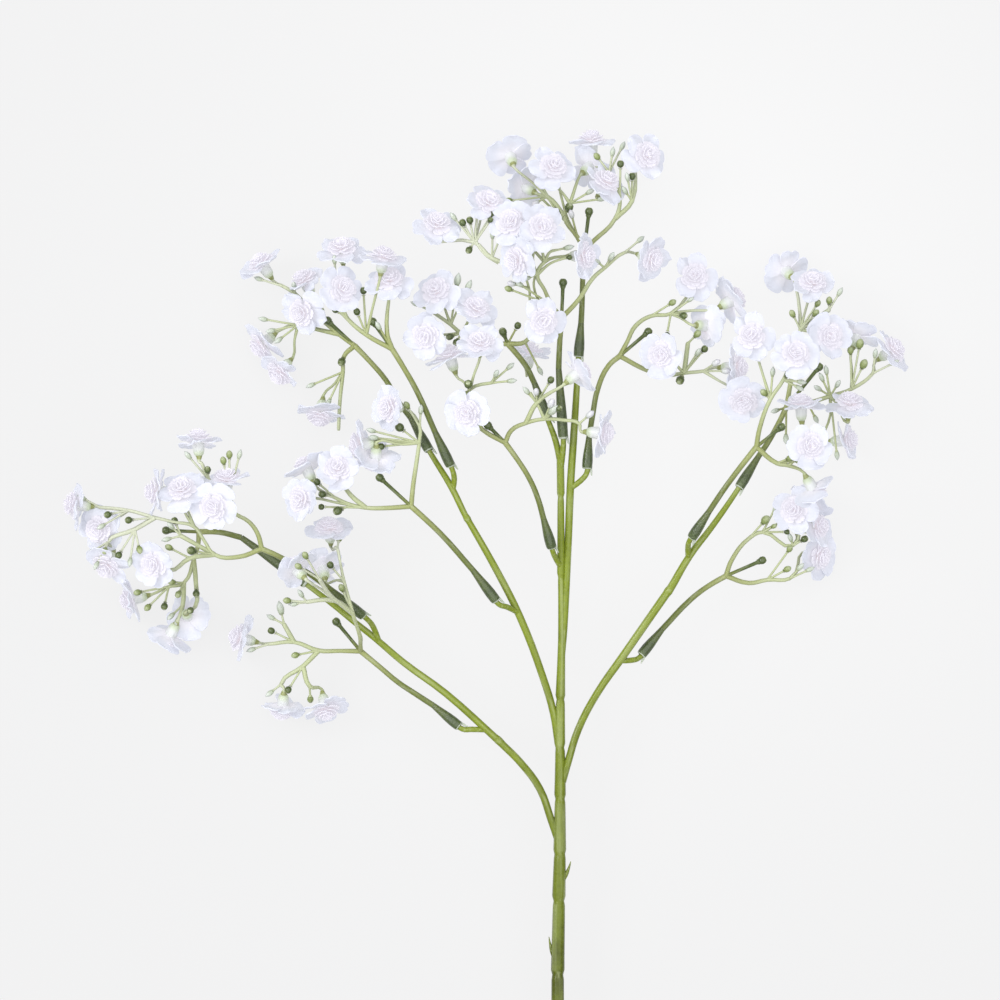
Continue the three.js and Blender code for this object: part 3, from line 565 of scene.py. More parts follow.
sprays["spray_top_left_front"] = dict(
    socket=[(-38.3, 187, 32.2), (-43.8, 199, 36)],
    stem=[(-50, 213, 40), (-54.5, 221, 42), (-58.5, 227.5, 44)],
    ball=(-65.2, 237, 46),
    limbs=dict(a=[(-60.3, 233, 45)], b=[(-67.5, 232.5, 45), (-74, 238, 45), (-77.5, 243, 46)]),
    blooms=[("b2", -76, 248, 52, 20, 60), ("b3", -76, 261.8, 47, 95, 35), ("a1", -59.5, 251, 50, 90, 50),
        ("b1", -61.5, 258.5, 56, 80, 15)],
    buds=[("fork", -63.3, 235.5, 47), ("b1", -68.5, 247.8, 48, "dark"), ("b1", -70.8, 240.5, 46, "dark"),
        ("b3", -78.5, 258.5, 50), ("b3", -78.3, 245.3, 48), ("b2", -78.3, 241.3, 44, "dark")])
sprays["spray_centre_front"] = dict(
    socket=[(-2.9, 158.3, 28.3), (-5.8, 168.5, 32)],
    stem=[(-7.6, 175, 34), (-10.5, 182, 36), (-14.5, 188.5, 37), (-19.2, 195, 38)],
    ball=(-25.2, 201, 40),
    limbs=dict(a=[(-17, 199.3, 39), (-12, 201.8, 40), (-5.5, 203.2, 40), (1.5, 202.8, 40), (6.6, 201.6, 40)],
        b=["a2", (-8.2, 208.8, 42)],
        c=[(-26.8, 199.3, 39), (-33, 206, 37), (-31.5, 213.5, 40), (-24, 215.8, 41)]),
    twigs=[("a3", "b1", (-10.5, 212.5, 43))],
    blooms=[("a5", 14, 198.3, 41, 355, 14), ("b1", 5.8, 219, 46, 40, -18), ("c1", -32.2, 205.1, 47, 200, 75),
        ("c3", -28, 229, 50, 90, 50), ("c3", -38.5, 224.7, 34, 110, 5)],
    buds=[("b1", -11.8, 213, 43), ("b1", -8.4, 212.6, 46, "white"), ("b1", -3.3, 216.8, 44, "dark"),
        ("a3", -3.2, 208.6, 44, "white", 1.4), ("a3", -2.6, 206.2, 43, "pale", 1.6),
        ("a3", -0.5, 206.8, 44, "dark", 1.2), ("a5", 10.3, 204.8, 42, "white", 1.2),
        ("c3", -32, 215.3, 44, "dark", 1.6), ("c3", -33, 211.8, 43, "green"), ("c4", -17.5, 221.5, 42),
        ("c4", -17, 216.5, 42), ("c4", -22.3, 219, 44)])
sprays["spray_top_right"] = dict(
    socket=[(6.5, 225.2, 26), (7.4, 237, 26)],
    stem=[(7.7, 243, 26), (8, 253, 26), (8.5, 262.5, 26)],
    ball=(10.2, 276, 26),
    limbs=dict(a=[(11.5, 265.5, 25.5), (19.3, 273.5, 24), (21, 281, 24), (17.3, 290, 22)],
        b=["a2", (25.3, 279.8, 23)], c=[(6.2, 267, 25), (1.6, 274.5, 24), (3.5, 279, 23)],
        d=["c2", (-4.5, 281.5, 21)]),
    twigs=[("fork", (3, 271.5, 22), (-2.5, 277, 20), (-9, 283.5, 17)),
        ("c1", (3, 273, 22), (0.6, 281, 21), (-0.5, 286, 21)), ("c2", (-3, 279.8, 22), (-6.5, 285.5, 20))],
    blooms=[("a3", 15.8, 286, 25, 60, 35), ("b1", 30.1, 295.4, 24, 25, 60), ("a4", 11.2, 300.5, 17, 92, 5),
        ("c3", 10.5, 292.3, 16, 45, -45), ("c3", -2.5, 291.2, 26, 60, 60), ("d1", -12.3, 285, 15, 150, -40),
        ("d1", -17.5, 295.8, 17, 110, -50)],
    buds=[("a3", 21.2, 292.7, 26, "dark"), ("b1", 22.7, 283.5, 24), ("b1", 25.3, 288.4, 25, "dark"),
        ("b1", 23.6, 288, 27), ("a4", 13, 295.5, 22, "green"), ("a4", 18.5, 297, 22), ("a4", 22, 299.2, 20),
        ("c2", 3.2, 277.5, 27, "dark", 1.6), ("c1", 4, 275, 28, "white"), ("c3", 10.5, 283, 25),
        ("c3", 14.5, 280.5, 24), ("d1", -18, 280, 20, "green"), ("d1", -1.2, 276, 24, "dark"),
        ("d1", -8.5, 279, 24, "white")])
sprays["spray_top_left"] = dict(
    socket=[(-4.4, 203.6, 26.8), (-9, 216, 28)],
    stem=[(-12, 222, 29), (-18.3, 229.6, 30)],
    ball=(-20, 233.8, 32),
    limbs=dict(a=[(-12.3, 230.2, 33)],
        b=[(-24, 229.8, 30), (-34.5, 233.3, 31), (-38.2, 236.3, 32), (-45, 241, 33)]),
    blooms=[("a1", -6, 237.5, 47, 300, 80), ((-12, 222, 29), -10.9, 225.8, 20, 85, 8),
        ("b3", -43, 247.8, 37, 120, 60), ("b2", -29.8, 241.5, 36, 60, 50), ("b2", -46.9, 232, 38, 200, 80)],
    buds=[("fork", -14.8, 236, 31, "dark"), ("a1", -7, 220.2, 30), ("b3", -32, 249.7, 34, "pale", 1.4),
        ("b3", -35.8, 251.8, 34, "pale", 1.5), ("b2", -38.6, 232, 34, "dark"), ("b2", -36.3, 230, 34, "dark"),
        ("b4", -50.5, 243.5, 34), ("b4", -47.5, 245, 33)])
sprays["spray_top_centre"] = dict(
    socket=[(1.1, 196.8, 28.6), (-0.5, 221, 32.5)],
    stem=[(-0.3, 227, 33.8), (0, 232, 35), (0.5, 238.5, 36.5)],
    ball=(1, 250.8, 38),
    limbs=dict(a=[(6.5, 245, 36), (11.5, 252.5, 36), (15.5, 256, 36), (22.5, 261.4, 35)],
        b=[(-3, 243, 38), (-8, 253.5, 43), (-5.5, 257.8, 44)],
        c=["b2", (-15, 256.5, 43), (-23.8, 259.3, 42), (-30, 264.8, 41)]),
    twigs=[("fork", (-6.2, 243, 36), (-9.2, 249.5, 39), (-8.4, 254.2, 42.5)),
        ("fork", (-9.5, 242, 35), (-10.8, 248.5, 38), (-12, 252.6, 41)),
        ("b2", (-3.5, 257.3, 45), (1.6, 259.2, 45.5)), ("b3", (-3.3, 261.5, 46), (-1, 262, 46)),
        ("b2", (-9.5, 257.5, 44), (-9.3, 261, 45), (-8.6, 264, 46)),
        ((-21.5, 257.6, 41.5), (-26.5, 260.8, 42), (-29.3, 265.5, 41.5), (-29, 273.5, 42))],
    blooms=[("a4", 31.2, 259.4, 36, 340, 40), ("b3", 7.5, 260, 44, 0, 35), ("b2", -14.7, 258.3, 50, 190, 45),
        ("b3", -6.7, 269.5, 54, 45, 70), ("b3", -17.2, 271.3, 47, 120, 70), ("c3", -43, 270.5, 42, 75, 45),
        ("c3", -25.2, 278.3, 43, 60, 55)],
    buds=[("a4", 28, 266, 33), ("a3", 17.8, 259.8, 38, "pale", 1.2), ("a3", 12.8, 258.3, 39),
        ("b2", -11.8, 252, 46), ("b1", -18, 248.6, 40, "green"), ("b1", -14.2, 250.2, 41),
        ((-12, 252.6, 41), -12.3, 254.4, 43), ((-12, 252.6, 41), -14.6, 253, 42, "green", 0.9),
        ((-10.9, 249, 38), -17, 250.4, 41.5, "white"), ((1, 259, 45.5), 3.2, 259.4, 46, "dark", 1),
        ((-3.3, 261.5, 46), 2.8, 262.8, 47, "pale", 1.2), ((-29.5, 265, 41.5), -24.3, 272.4, 46, "dark", 1),
        ("c3", -34, 271.6, 43, "dark"), ("c3", -31.5, 272.4, 44, "dark"), ("c3", -31.8, 262, 43, "dark"),
        ("c3", -37.2, 273.6, 43), ("c3", -24, 274.2, 44, "dark"), ("c2", -23.6, 267.4, 45),
        ("c2", -20.3, 268, 44, "green")])
sprays["spray_right_high"] = dict(
    socket=[(9.5, 186, 25), (10.2, 197, 24.5)],
    stem=[(11.5, 205, 24), (13.3, 214, 23.5), (17, 222, 23), (21, 225.5, 22)],
    ball=(31, 234, 22),
    limbs=dict(a=[(26.5, 236, 20), (32, 239.6, 19), (39, 240.5, 18)],
        b=[(31, 220.4, 18), (37, 218.8, 17), (43.7, 219.6, 17), (50.5, 220.3, 17)], c=["b3", (45, 230, 17)]),
    blooms=[("a3", 47.3, 253.4, 18, 90, 75), ("a3", 60.5, 245.3, 14, 30, -20), ("a3", 51, 236.3, 17, 0, -50),
        ("b3", 35.7, 226, 25, 200, 75), ("b4", 61.6, 221.6, 12, 0, 12), ("b4", 64.4, 210, 20, 270, 70)],
    buds=[("a2", 39.5, 244.3, 20, "green"), ("a3", 45.8, 245.3, 21, "pale", 0.9),
        ("a3", 43.5, 239.7, 21, "dark"), ("a3", 37.6, 232.8, 18, "dark", 1.2),
        ("c1", 48.3, 233.3, 19, "green", 1.3), ("b3", 50.8, 228, 20, "dark"), ("b3", 48.4, 226.8, 21),
        ("b3", 42.2, 217, 20, "dark", 1.6), ("b4", 54.8, 223.2, 20, "white", 1.2),
        ("b4", 58.3, 220.3, 18, "white", 1.2)])
sprays["spray_right_front"] = dict(
    socket=[(46, 161.8, 31), (52, 171, 35)],
    stem=[(58, 180, 38.5), (68.3, 193.5, 42)],
    ball=(77, 200.4, 44),
    limbs=dict(a=[(69.4, 200, 44), (73, 210, 47), (77.5, 216.8, 48)], b=[(75.5, 187.8, 42), (79.5, 187, 42)]),
    blooms=[("a2", 66.3, 231.9, 52, 110, 75), ("a3", 81.3, 225.6, 54, 60, 75), ("b2", 88, 179, 38, 300, -20),
        ("b2", 86.7, 193.6, 48, 45, 75)],
    buds=[("a2", 73.8, 219.5, 48), ("a2", 70.7, 212.3, 48, "green"), ("a3", 79, 218.6, 50, "dark"),
        ("a3", 83, 214, 47), ("a3", 83.7, 216, 49), ("b1", 80, 189.6, 44, "green"),
        ("b1", 83, 188.8, 43, "green")])
sprays["spray_right_back"] = dict(
    socket=[(62.8, 179.4, 23.4), (69.5, 190, 21.5)],
    stem=[(73.5, 196, 21), (77.3, 203, 20.5), (79.5, 207.5, 20)],
    ball=(91, 221.7, 20),
    limbs=dict(a=[(81, 216, 19), (82.8, 226, 18), (84.5, 235, 18)], b=["a3", (94.5, 241.7, 18)],
        c=[(87, 209, 19), (95, 211.5, 18), (102.5, 214, 17), (110, 219.5, 16)]),
    blooms=[("a3", 79.8, 255.8, 7, 130, -55), ("a3", 88.5, 250.8, 19, 80, 50), ("a3", 94.4, 232.4, 22, 0, 78),
        ("c3", 104.3, 232.5, 14, 70, -30), ("c4", 116.6, 227.5, 13, 35, 18), ("c2", 101.5, 208.3, 24, 85, 28),
        ("c1", 84.3, 207.6, 30, 93, 12), ("c2", 100.3, 196, 8.27, 5, 12)],
    buds=[("a3", 81.6, 240.4, 20, "green"), ("a3", 90.5, 244, 20, "green", 1.1),
        ("a3", 89.8, 240.6, 21, "green"), ("b1", 98.3, 248, 19), ("b1", 94.6, 245, 19, "green"),
        ("c3", 105.3, 229.8, 20, "green", 1.5), ("c3", 102, 227.5, 20, "green"),
        ("c3", 106.7, 222.7, 19, "green", 1.5), ("c4", 110.8, 226.4, 18), ("c4", 117.6, 223.3, 17),
        ("c2", 93.5, 220.5, 20), ("c2", 91.9, 218, 19), ("c2", 97.5, 215.7, 21), ("c2", 90.5, 214.2, 21),
        ("c2", 97.5, 190.8, 14), ("c1", 90, 203.5, 16), ("fork", 75.5, 206.3, 22),
        ("fork", 79.2, 196.5, 24, "pale", 1.2)])
sprays["spray_right_low"] = dict(
    socket=[(28.6, 120.6, 17.4), (36, 129.6, 16)],
    stem=[(46, 140, 15.5), (52, 144.6, 15), (58.4, 148.3, 15)],
    ball=(71.2, 153.8, 15),
    limbs=dict(a=[(60.5, 154, 16), (66.5, 161.5, 16), (71.3, 163.7, 16), (82, 159, 15)],
        b=[(66.5, 145.8, 13), (73, 146.9, 13), (81, 147.4, 13)]),
    blooms=[("a3", 82.3, 171.5, 22, 150, 70), ("a4", 87.8, 174, 12, 60, -30), ("a4", 89.8, 165.5, 14, 10, 25),
        ("b3", 91, 155.4, 6.57, 350, 40)],
    buds=[("a2", 72.2, 168, 18, "green", 1.5), ("a3", 79.8, 163.8, 17, "dark", 1),
        ("a3", 75.2, 165.8, 18, "green", 0.9), ("a3", 75.6, 172, 17, "pale", 0.9),
        ("a4", 86, 161.3, 17, "dark"), ("a4", 81, 161.8, 16), ("b2", 80.8, 157.8, 16, "green", 1.1),
        ("b2", 80, 150.7, 15, "green"), ("b3", 84.6, 151.4, 14), ("b3", 88, 150.6, 13)])

# Each run of the main stem: the spray whose socket it ends in, and stops as [x, y, z, radius]
stemPaths = [
    (None, [
        (-0.6, -200, 2.3, 2.3), (-0.7, -100, 7.3, 2.25), (-0.7, 6.3, 12.9, 2.1), (-0.7, 8, 13, 1.85),
        (-0.7, 9.8, 13.1, 2.3), (-0.3, 32.3, 14.6, 2.05), (-0.3, 34, 14.7, 1.8), (-0.3, 35.8, 14.8, 2.25),
        (0, 49, 15.8, 2), (0, 50.5, 15.9, 1.8), (0, 52.2, 16, 2.15), (0.1, 68.5, 17.1, 1.8),
        (0.1, 70, 17.2, 1.6), (0.1, 71.6, 17.3, 1.95), (0.1, 86.5, 18.3, 1.65), (0, 88, 18.4, 1.45),
        (0, 89.6, 18.5, 1.85), (0.2, 103.6, 19.4, 1.5), (0.2, 105, 19.5, 1.3), (0.2, 106.5, 19.6, 1.65),
        (0.6, 126, 21, 1.2), (0.5, 146.6, 22.4, 1.15), (0.4, 148, 22.5, 1), (0.4, 149.5, 22.6, 1.35),
        (0.3, 174.6, 24.3, 1.1), (0.3, 176, 24.4, 0.95), (0.3, 177.4, 24.5, 1.3), (0.1, 191, 26, 1.25)]),
    ("spray_top_left", [(0.2, 188, 25.5, 1.1), (-1.6, 196, 26.1, 1.05)]),
    ("spray_top_centre", [(0.2, 186, 25.4, 1.1), (0.9, 191.5, 27, 1.05)]),
    ("spray_top_right", [
        (0.8, 120, 20.6, 1), (1.5, 130, 21.2, 1.15), (2.9, 160, 23, 1.25), (3.7, 180, 24, 1.3),
        (4.8, 197, 24.8, 1.25), (5.8, 213, 25.5, 1.1)]),
    ("spray_left_back", [
        (-0.8, 56, 16, 1.25), (-3, 62.5, 16.5, 1.25), (-7, 73.5, 17, 1.25), (-14, 83, 17, 1.25),
        (-20, 89, 17, 1.25), (-21.5, 90.5, 17, 1.4), (-23, 91.8, 16.9, 1.25), (-40, 107, 16.5, 1.2),
        (-55, 118, 16, 1.15), (-65, 126.5, 15.5, 1.1), (-72, 132, 15, 1.05), (-80, 138.5, 14.5, 1)]),
    ("spray_left_low", [(-26, 94.3, 16.6, 0.95), (-31, 94.4, 16, 0.95)]),
    ("spray_left_front", [(-63.5, 125.2, 15.6, 0.95), (-65.8, 131, 19, 0.95)]),
    ("spray_top_left_back", [
        (-0.8, 90, 18.5, 1.1), (-2.2, 100, 19.5, 1.25), (-6, 113, 20.5, 1.25), (-14, 134, 22.5, 1.25),
        (-22, 150, 24.5, 1.2), (-31.8, 167.3, 26.8, 1.05), (-32.5, 168.5, 27, 1.25),
        (-33.2, 169.7, 27.2, 1.05), (-38, 179.5, 28, 1.1)]),
    ("spray_mid_left", [(-14.5, 135.5, 22.7, 0.95), (-18.5, 137.5, 26, 0.95)]),
    ("spray_top_left_front", [(-37.5, 178.4, 27.8, 0.95), (-37, 182.6, 29.8, 0.95)]),
    ("spray_right_back", [
        (1, 76, 17.5, 1.2), (2.9, 83, 18.5, 1.25), (6.5, 94.5, 19.5, 1.25), (13, 107, 20, 1.25),
        (22, 120, 21, 1.35), (37.2, 141.9, 23.4, 1.35), (38, 143, 23.5, 1.5), (38.8, 144.1, 23.6, 1.35),
        (45.5, 155.5, 24.6, 1.2), (53, 165.3, 24.8, 1.05)]),
    ("spray_right_low", [(21, 118.6, 20.7, 0.95), (25.5, 118.8, 19, 0.95)]),
    ("spray_right_front", [(45, 154.6, 24.5, 0.95), (44.8, 158.6, 28, 0.95)]),
    ("spray_right_high", [(3.6, 179, 24, 0.95), (7.5, 182, 25, 0.95)]),
    ("spray_centre_front", [(0.3, 151.5, 22.8, 0.95), (-1.7, 155, 25.7, 0.95)]),
]

branch = {
    "sides": 8,
    "socketRows": [  # share of the way from the mouth to the waist, radius
        (0, 1.58), (0.02, 1.7), (0.08, 1.82), (0.25, 1.86), (0.45, 1.72), (0.75, 1.32), (1, 1.04)],
    "boreRows": [(-0.01, 1.44), (0, 1.3), (0.45, 1.235)],  # back from the mouth's edge into the bore
    "socketSides": 14,
    "rimHighlightShare": 0.016,  # how much of the socket is the pale rim, a painted highlight
    "nibPlace": 1.5,  # out from the middle of the mouth
    "nib": [(1.2, 0, 0.3), (-0.9, 0, 0.42), (-2.4, 0.3, 0.2)],  # towards the waist, outwards, radius
    "stemRadius": (0.98, 0.84),  # past the socket, before the fork
    "stemTip": (0.7, 0.5),  # past the fork, radius
    "limbRadius": (0.74, 0.46),  # first length, least
    "limbTaper": 0.88,  # from one length to the next
    "limbTip": (0.6, 0.4),
    "longLimb": 12,  # a longer one has a stop in its middle
    "knuckle": 0.16,  # more at a hub
    "twigRoot": 0.66,
    "twigRadius": 0.45,
    "longTwig": 6,
    "slimShare": 0.4,  # how much of a twig or a peg comes before its second stop
    "cup": [(-2.2, 0.495), (-0.7, 0.95), (0.35, 1.35), (0.9, 1.0125)],  # from the calyx's foot, radius
    "budRoot": 0.528,
    "budTwig": 0.38,
    "budNeck": (1.2, 0.6, 0.5),  # place and radius as shares of the bud's radius, length
    "budRun": (0.45, 2),  # where the twig has thinned: share of its length, and at most
    "pegRadius": 0.62,
    "pegEnd": [(2.2, 0.682), (1.5, 1), (1.1, 1.05)],  # back from the ball's middle, radius
    "ballRadius": 1.5,
    "stemPale": (0.08, 0.36),  # at the socket, more at the fork
    "limbPale": (0.44, 0.5, 42),  # at the fork, more at the far end, and how far that is
    "cupPale": (0.4, 1.6),  # where a calyx is held, and how far round it
    "pegPale": (0.3, 0.5),  # at the fork, and how far along the peg it has darkened
    "smoothAngle": 50,
}
# The branch and socket greens carry painted highlight streaks along their bars
branchGreen = gradedPlastic(
    "branchGreen", [(0, "3e4c22"), (0.25, "616a34"), (0.5, "888e59"), (0.75, "a2a983"), (1, "b2b6a1")],
    attribute="paleness", mottle=(0.12, 260), streak=(0.12, 1400), highlightStreaks=((5, 4, 1), "aeb2a0", 0.35),
    roughness=(0.24, 0.42), bump=0.3, glow=(0.12, 0.8), specular=0.35)
socketGreen = gradedPlastic(
    "socketGreen", [(0, "4c5c2b"), (0.3, "3b4a1e"), (0.6, "293810"), (0.85, "384613"), (1, "414c16")],
    attribute="paleness", mottle=(0.5, 330), streak=(0.7, 1300), highlightStreaks=((9, 3, 1), "bcc6a4", 0.55),
    roughness=(0.08, 0.34), bump=1.0, glow=(0.08, 0.8), specular=0.6)
# The socket's rim is painted pale as a highlight, and the small nib at the mouth is a real pale tab in the
# same material
rimHighlightAndNib = gradedPlastic(
    "rimHighlightAndNib", [(0, "a6ad9f"), (1, "949f8a")], attribute="paleness", mottle=(0.3, 700),
    streak=(0.1, 1700), roughness=(0.2, 0.35), bump=0.3, glow=(0.4, 1.0))


def drawn(name, runs, material, sides=branch["sides"]):
    # Round bars through [place, radius in mm] stops, drawn as bevelled curves and made a mesh
    bpy.ops.object.select_all(action="DESELECT")
    bpy.ops.curve.primitive_bezier_curve_add()
    shape = bpy.context.object.data
    shape.splines.clear()
    shape.bevel_depth = mm
    shape.bevel_resolution = (sides - 4) // 2
    shape.use_fill_caps = True
    for run in runs:
        spline = shape.splines.new("BEZIER")
        spline.resolution_u = 4
        spline.bezier_points.add(len(run) - 1)
        for stop, (at, radius) in zip(spline.bezier_points, run):
            stop.co, stop.radius = at, radius
    bpy.ops.object.mode_set(mode="EDIT")
    bpy.ops.curve.select_all(action="SELECT")
    bpy.ops.curve.handle_type_set(type="AUTOMATIC")
    shaped(bpy.context.object, material)
    bpy.ops.object.convert(target="MESH")
    piece = bpy.context.object
    piece.name = piece.data.name = name
    return cleaned(piece)


def calyxFoot(flower):
    return laid(flower[1:4]) - facing(*flower[4:]) * bloom["calyxLength"] * mm


def cupStops(flower):
    # A twig straightens behind the calyx and flares to hold it
    foot, out = calyxFoot(flower), facing(*flower[4:]) * mm
    return [(foot + out * past, radius) for past, radius in branch["cup"]]


def limbRun(hubs, flower):
    radius, least = branch["limbRadius"]
    stops = [(hubs[0], radius + branch["knuckle"])]
    for before, here in zip(hubs, hubs[1:]):
        if (here - before).length > branch["longLimb"] * mm:
            stops.append(((before + here) / 2, radius))
        radius = max(least, radius * branch["limbTaper"])
        stops.append((here, radius + branch["knuckle"]))
    past, tip = branch["limbTip"]
    return stops + (cupStops(flower) if flower else [(along(hubs[-1], hubs[-2], -past), tip)])


def twigRun(hub, flower):
    foot = calyxFoot(flower)
    gap = (foot - hub).length / mm
    stops = [(hub, branch["twigRoot"])]
    if gap > branch["longTwig"]:
        stops.append((along(hub, foot, gap * branch["slimShare"]), branch["twigRadius"]))
    return stops + cupStops(flower)


def budRun(hub, place, radius):
    (start, wide, length), (share, most), slim = branch["budNeck"], branch["budRun"], branch["budTwig"]
    base = along(place, hub, radius * start)
    gap = (base - hub).length / mm
    stops = [(hub, branch["budRoot"])]
    if gap > most:
        stops.append((along(hub, base, min(most, gap * share)), slim))
    return stops + [(along(base, hub, length), slim), (base, radius * wide)]


def placedBud(hub, place, radius, kind):
    return copied(budModels[kind], standing(place, place - hub) @ Matrix.Scale(radius * mm, 4))


def makeSocket():
    # Its mouth is at the origin and its waist one unit up +Z, and a millimetre across is one unit
    start, *rows = branch["socketRows"]
    bpy.ops.mesh.primitive_circle_add(
        vertices=branch["socketSides"], radius=start[1], fill_type="NOTHING")
    socket = bpy.context.object
    editMode(socket)
    drawRings(*start, rows)
    bpy.ops.mesh.edge_face_add()
    pick(socket, lambda co: co.z < touch / 10)
    drawRings(*start, branch["boreRows"])
    bpy.ops.mesh.edge_face_add()
    shaped(socket, socketGreen, rimHighlightAndNib)
    # the faces of the rim get the painted highlight
    for face in socket.data.polygons:
        if face.center.z < branch["rimHighlightShare"]:
            face.material_index = 1
    return cleaned(socket)


socketModel = makeSocket()


def placedSocket(ends):
    mouth, waist = (laid(end) for end in ends)
    length = (waist - mouth).length
    placed = copied(socketModel, standing(mouth, waist - mouth) @ Matrix.Diagonal((mm, mm, length, 1)))
    side = (waist - mouth).cross(upward).normalized() * mm
    rim = mouth + side * branch["nibPlace"]
    stops = [(along(rim, rim + waist - mouth, past) + side * out, radius)
             for past, out, radius in branch["nib"]]
    placed = joined("socket", [placed, drawn("nib", [stops], rimHighlightAndNib)])
    written(placed, "paleness", lambda co: (co - mouth).length / length)
    return placed


def makeStem(waist, places, fork):
    wide, slim = branch["stemRadius"]
    past, tip = branch["stemTip"]
    stops = [(waist, branch["socketRows"][-1][1])]
    stops += [(place, wide + (slim - wide) * i / (len(places) + 1)) for i, place in enumerate(places)]
    stops += [(fork, slim + branch["knuckle"]), (along(fork, places[-1], -past), tip)]
    stem = drawn("stem", [stops], branchGreen)
    start, more = branch["stemPale"]
    length = (fork - waist).length
    written(stem, "paleness", lambda co: start + more * (co - waist).length / length)
    return stem


def makePeg(fork, end):
    radius, length = branch["pegRadius"], (end - fork).length
    stops = [(fork, radius), (along(fork, end, length / mm * branch["slimShare"]), radius)]
    stops += [(along(end, fork, back), wide) for back, wide in branch["pegEnd"]]
    peg = drawn("peg", [stops], branchGreen)
    pale, share = branch["pegPale"]
    written(peg, "paleness", lambda co: pale * (1 - min(1, (co - fork).length / (length * share))))
    return peg


def sprayGreens(name, spray):
    *places, fork = [laid(place) for place in spray["stem"]]
    hubs, runs, ended = {"fork": fork}, [], []

    def at(place):
        return hubs[place] if isinstance(place, str) else laid(place)
    for limb, stops in spray["limbs"].items():
        start, *stops = stops if isinstance(stops[0], str) else ("fork", *stops)
        names = [limb + str(i + 1) for i in range(len(stops))]
        hubs.update(zip(names, map(laid, stops)))
        flower = next((flower for flower in spray["blooms"] if flower[0] == names[-1]), None)
        runs.append(limbRun([hubs[hub] for hub in (start, *names)], flower))
        ended.append(flower)
    runs += [twigRun(at(flower[0]), flower) for flower in spray["blooms"] if flower not in ended]

    def budAt(hub, x, y, z, kind="pale", radius=None):
        return at(hub), laid((x, y, z)), radius or bud["kinds"][kind][-1], kind
    buds = [budAt(*row) for row in spray["buds"]]
    runs += [budRun(hub, place, radius) for hub, place, radius, _ in buds]
    for start, *stops in spray.get("twigs", []):
        runs.append([(at(start), branch["twigRoot"])] + [(at(stop), branch["twigRadius"]) for stop in stops])

    stem = makeStem(laid(spray["socket"][1]), places, fork)
    limbs = drawn("limbs", runs, branchGreen)
    feet = [calyxFoot(flower) for flower in spray["blooms"]]
    start, more, fade = branch["limbPale"]
    held, near = branch["cupPale"]

    def paleAt(co):  # paler the farther from the fork, but green again where a calyx is held
        if min((co - foot).length for foot in feet) < near * mm:
            return held
        return start + more * min(1, (co - fork).length / (fade * mm))
    written(limbs, "paleness", paleAt)

    parts = [stem, limbs, placedSocket(spray["socket"])] + [placedBud(*given) for given in buds]
    if "ball" in spray:
        end = laid(spray["ball"])
        parts += [makePeg(fork, end), placedBud(fork, end, branch["ballRadius"], "dark")]
    return smoothed(joined(name + "_green", parts), branch["smoothAngle"])


def sprayBlooms(name, spray):
    chance = random.Random(name)
    parts = []
    for i, flower in enumerate(spray["blooms"]):
        roll = turned(i * bloom["rollStep"], "Z")
        model = bloomModels[chance.randrange(len(bloomModels))]
        placed = standing(laid(flower[1:4]), facing(*flower[4:])) @ roll @ Matrix.Scale(mm, 4)
        parts.append(copied(model, placed))
    whole = joined(name + "_blooms", parts)
    keptAbove(whole, bloom["tableGap"] * mm)  # petals that touch the table lie flat on it
    return whole


for name, spray in sprays.items():
    for piece in (sprayGreens(name, spray), sprayBlooms(name, spray)):
        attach(piece, "root")
        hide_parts(name)
removed(socketModel, *bloomModels, *budModels.values())
print("sprays made:", len(sprays))

mainStem = {
    "sides": 12,
    "swell": 1.05,
    "armLift": 2.6,  # how much further up the colour ramp an arm is, for each metre from the trunk
    "stubRadius": 0.95,
    "stub": (-1.5, 5.5),  # starts before the socket's mouth, ends inside
    "thorns": [
        [(0.2, 40.5, 15, 1.1), (2.2, 43.4, 15.4, 0.8), (3.3, 46, 15.6, 0.4), (3.9, 48, 15.7, 0.12)],
        [(-1.3, 13.2, 13.3, 1.1), (-2.7, 16.2, 13.5, 0.75), (-3.4, 19, 13.6, 0.4), (-3.8, 21.4, 13.7, 0.12)]],
    "smoothAngle": 60,
}
# The main stem carries painted highlight streaks along its length
stemGreen = gradedPlastic(
    "stemGreen", [(0, "3e4910"), (0.48, "39400d"), (0.62, "424910"), (0.76, "5f6a1e"), (1, "727f27")],
    attribute="height", mottle=(0.35, 140), streak=(0.25, 700), highlightStreaks=((9, 4, 1), "a0a87c", 0.52),
    roughness=(0.14, 0.36), bump=0.6, glow=(0.08, 1.0), specular=0.3)


def stemRun(into, path):
    stops = [(laid(stop), stop[3] * mainStem["swell"]) for stop in path]
    if into:
        mouth, waist = (laid(end) for end in sprays[into]["socket"])
        stops += [(along(mouth, waist, past), mainStem["stubRadius"]) for past in mainStem["stub"]]
    return stops


runs = [stemRun(*entry) for entry in stemPaths]
runs += [[(laid(stop), stop[3]) for stop in thorn] for thorn in mainStem["thorns"]]
stemPiece = drawn("mainStem", runs, stemGreen, mainStem["sides"])
keptAbove(stemPiece, 0)  # the cut foot lies on the table
low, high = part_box("main_stem")
trunk = laid((0, 0, 0)).x
written(stemPiece, "height", lambda co:
        (co.y - low.y) / (high.y - low.y) + mainStem["armLift"] * abs(co.x - trunk))
smoothed(stemPiece, mainStem["smoothAngle"])
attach(stemPiece, "root")
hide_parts("main_stem")
print("main stem made")

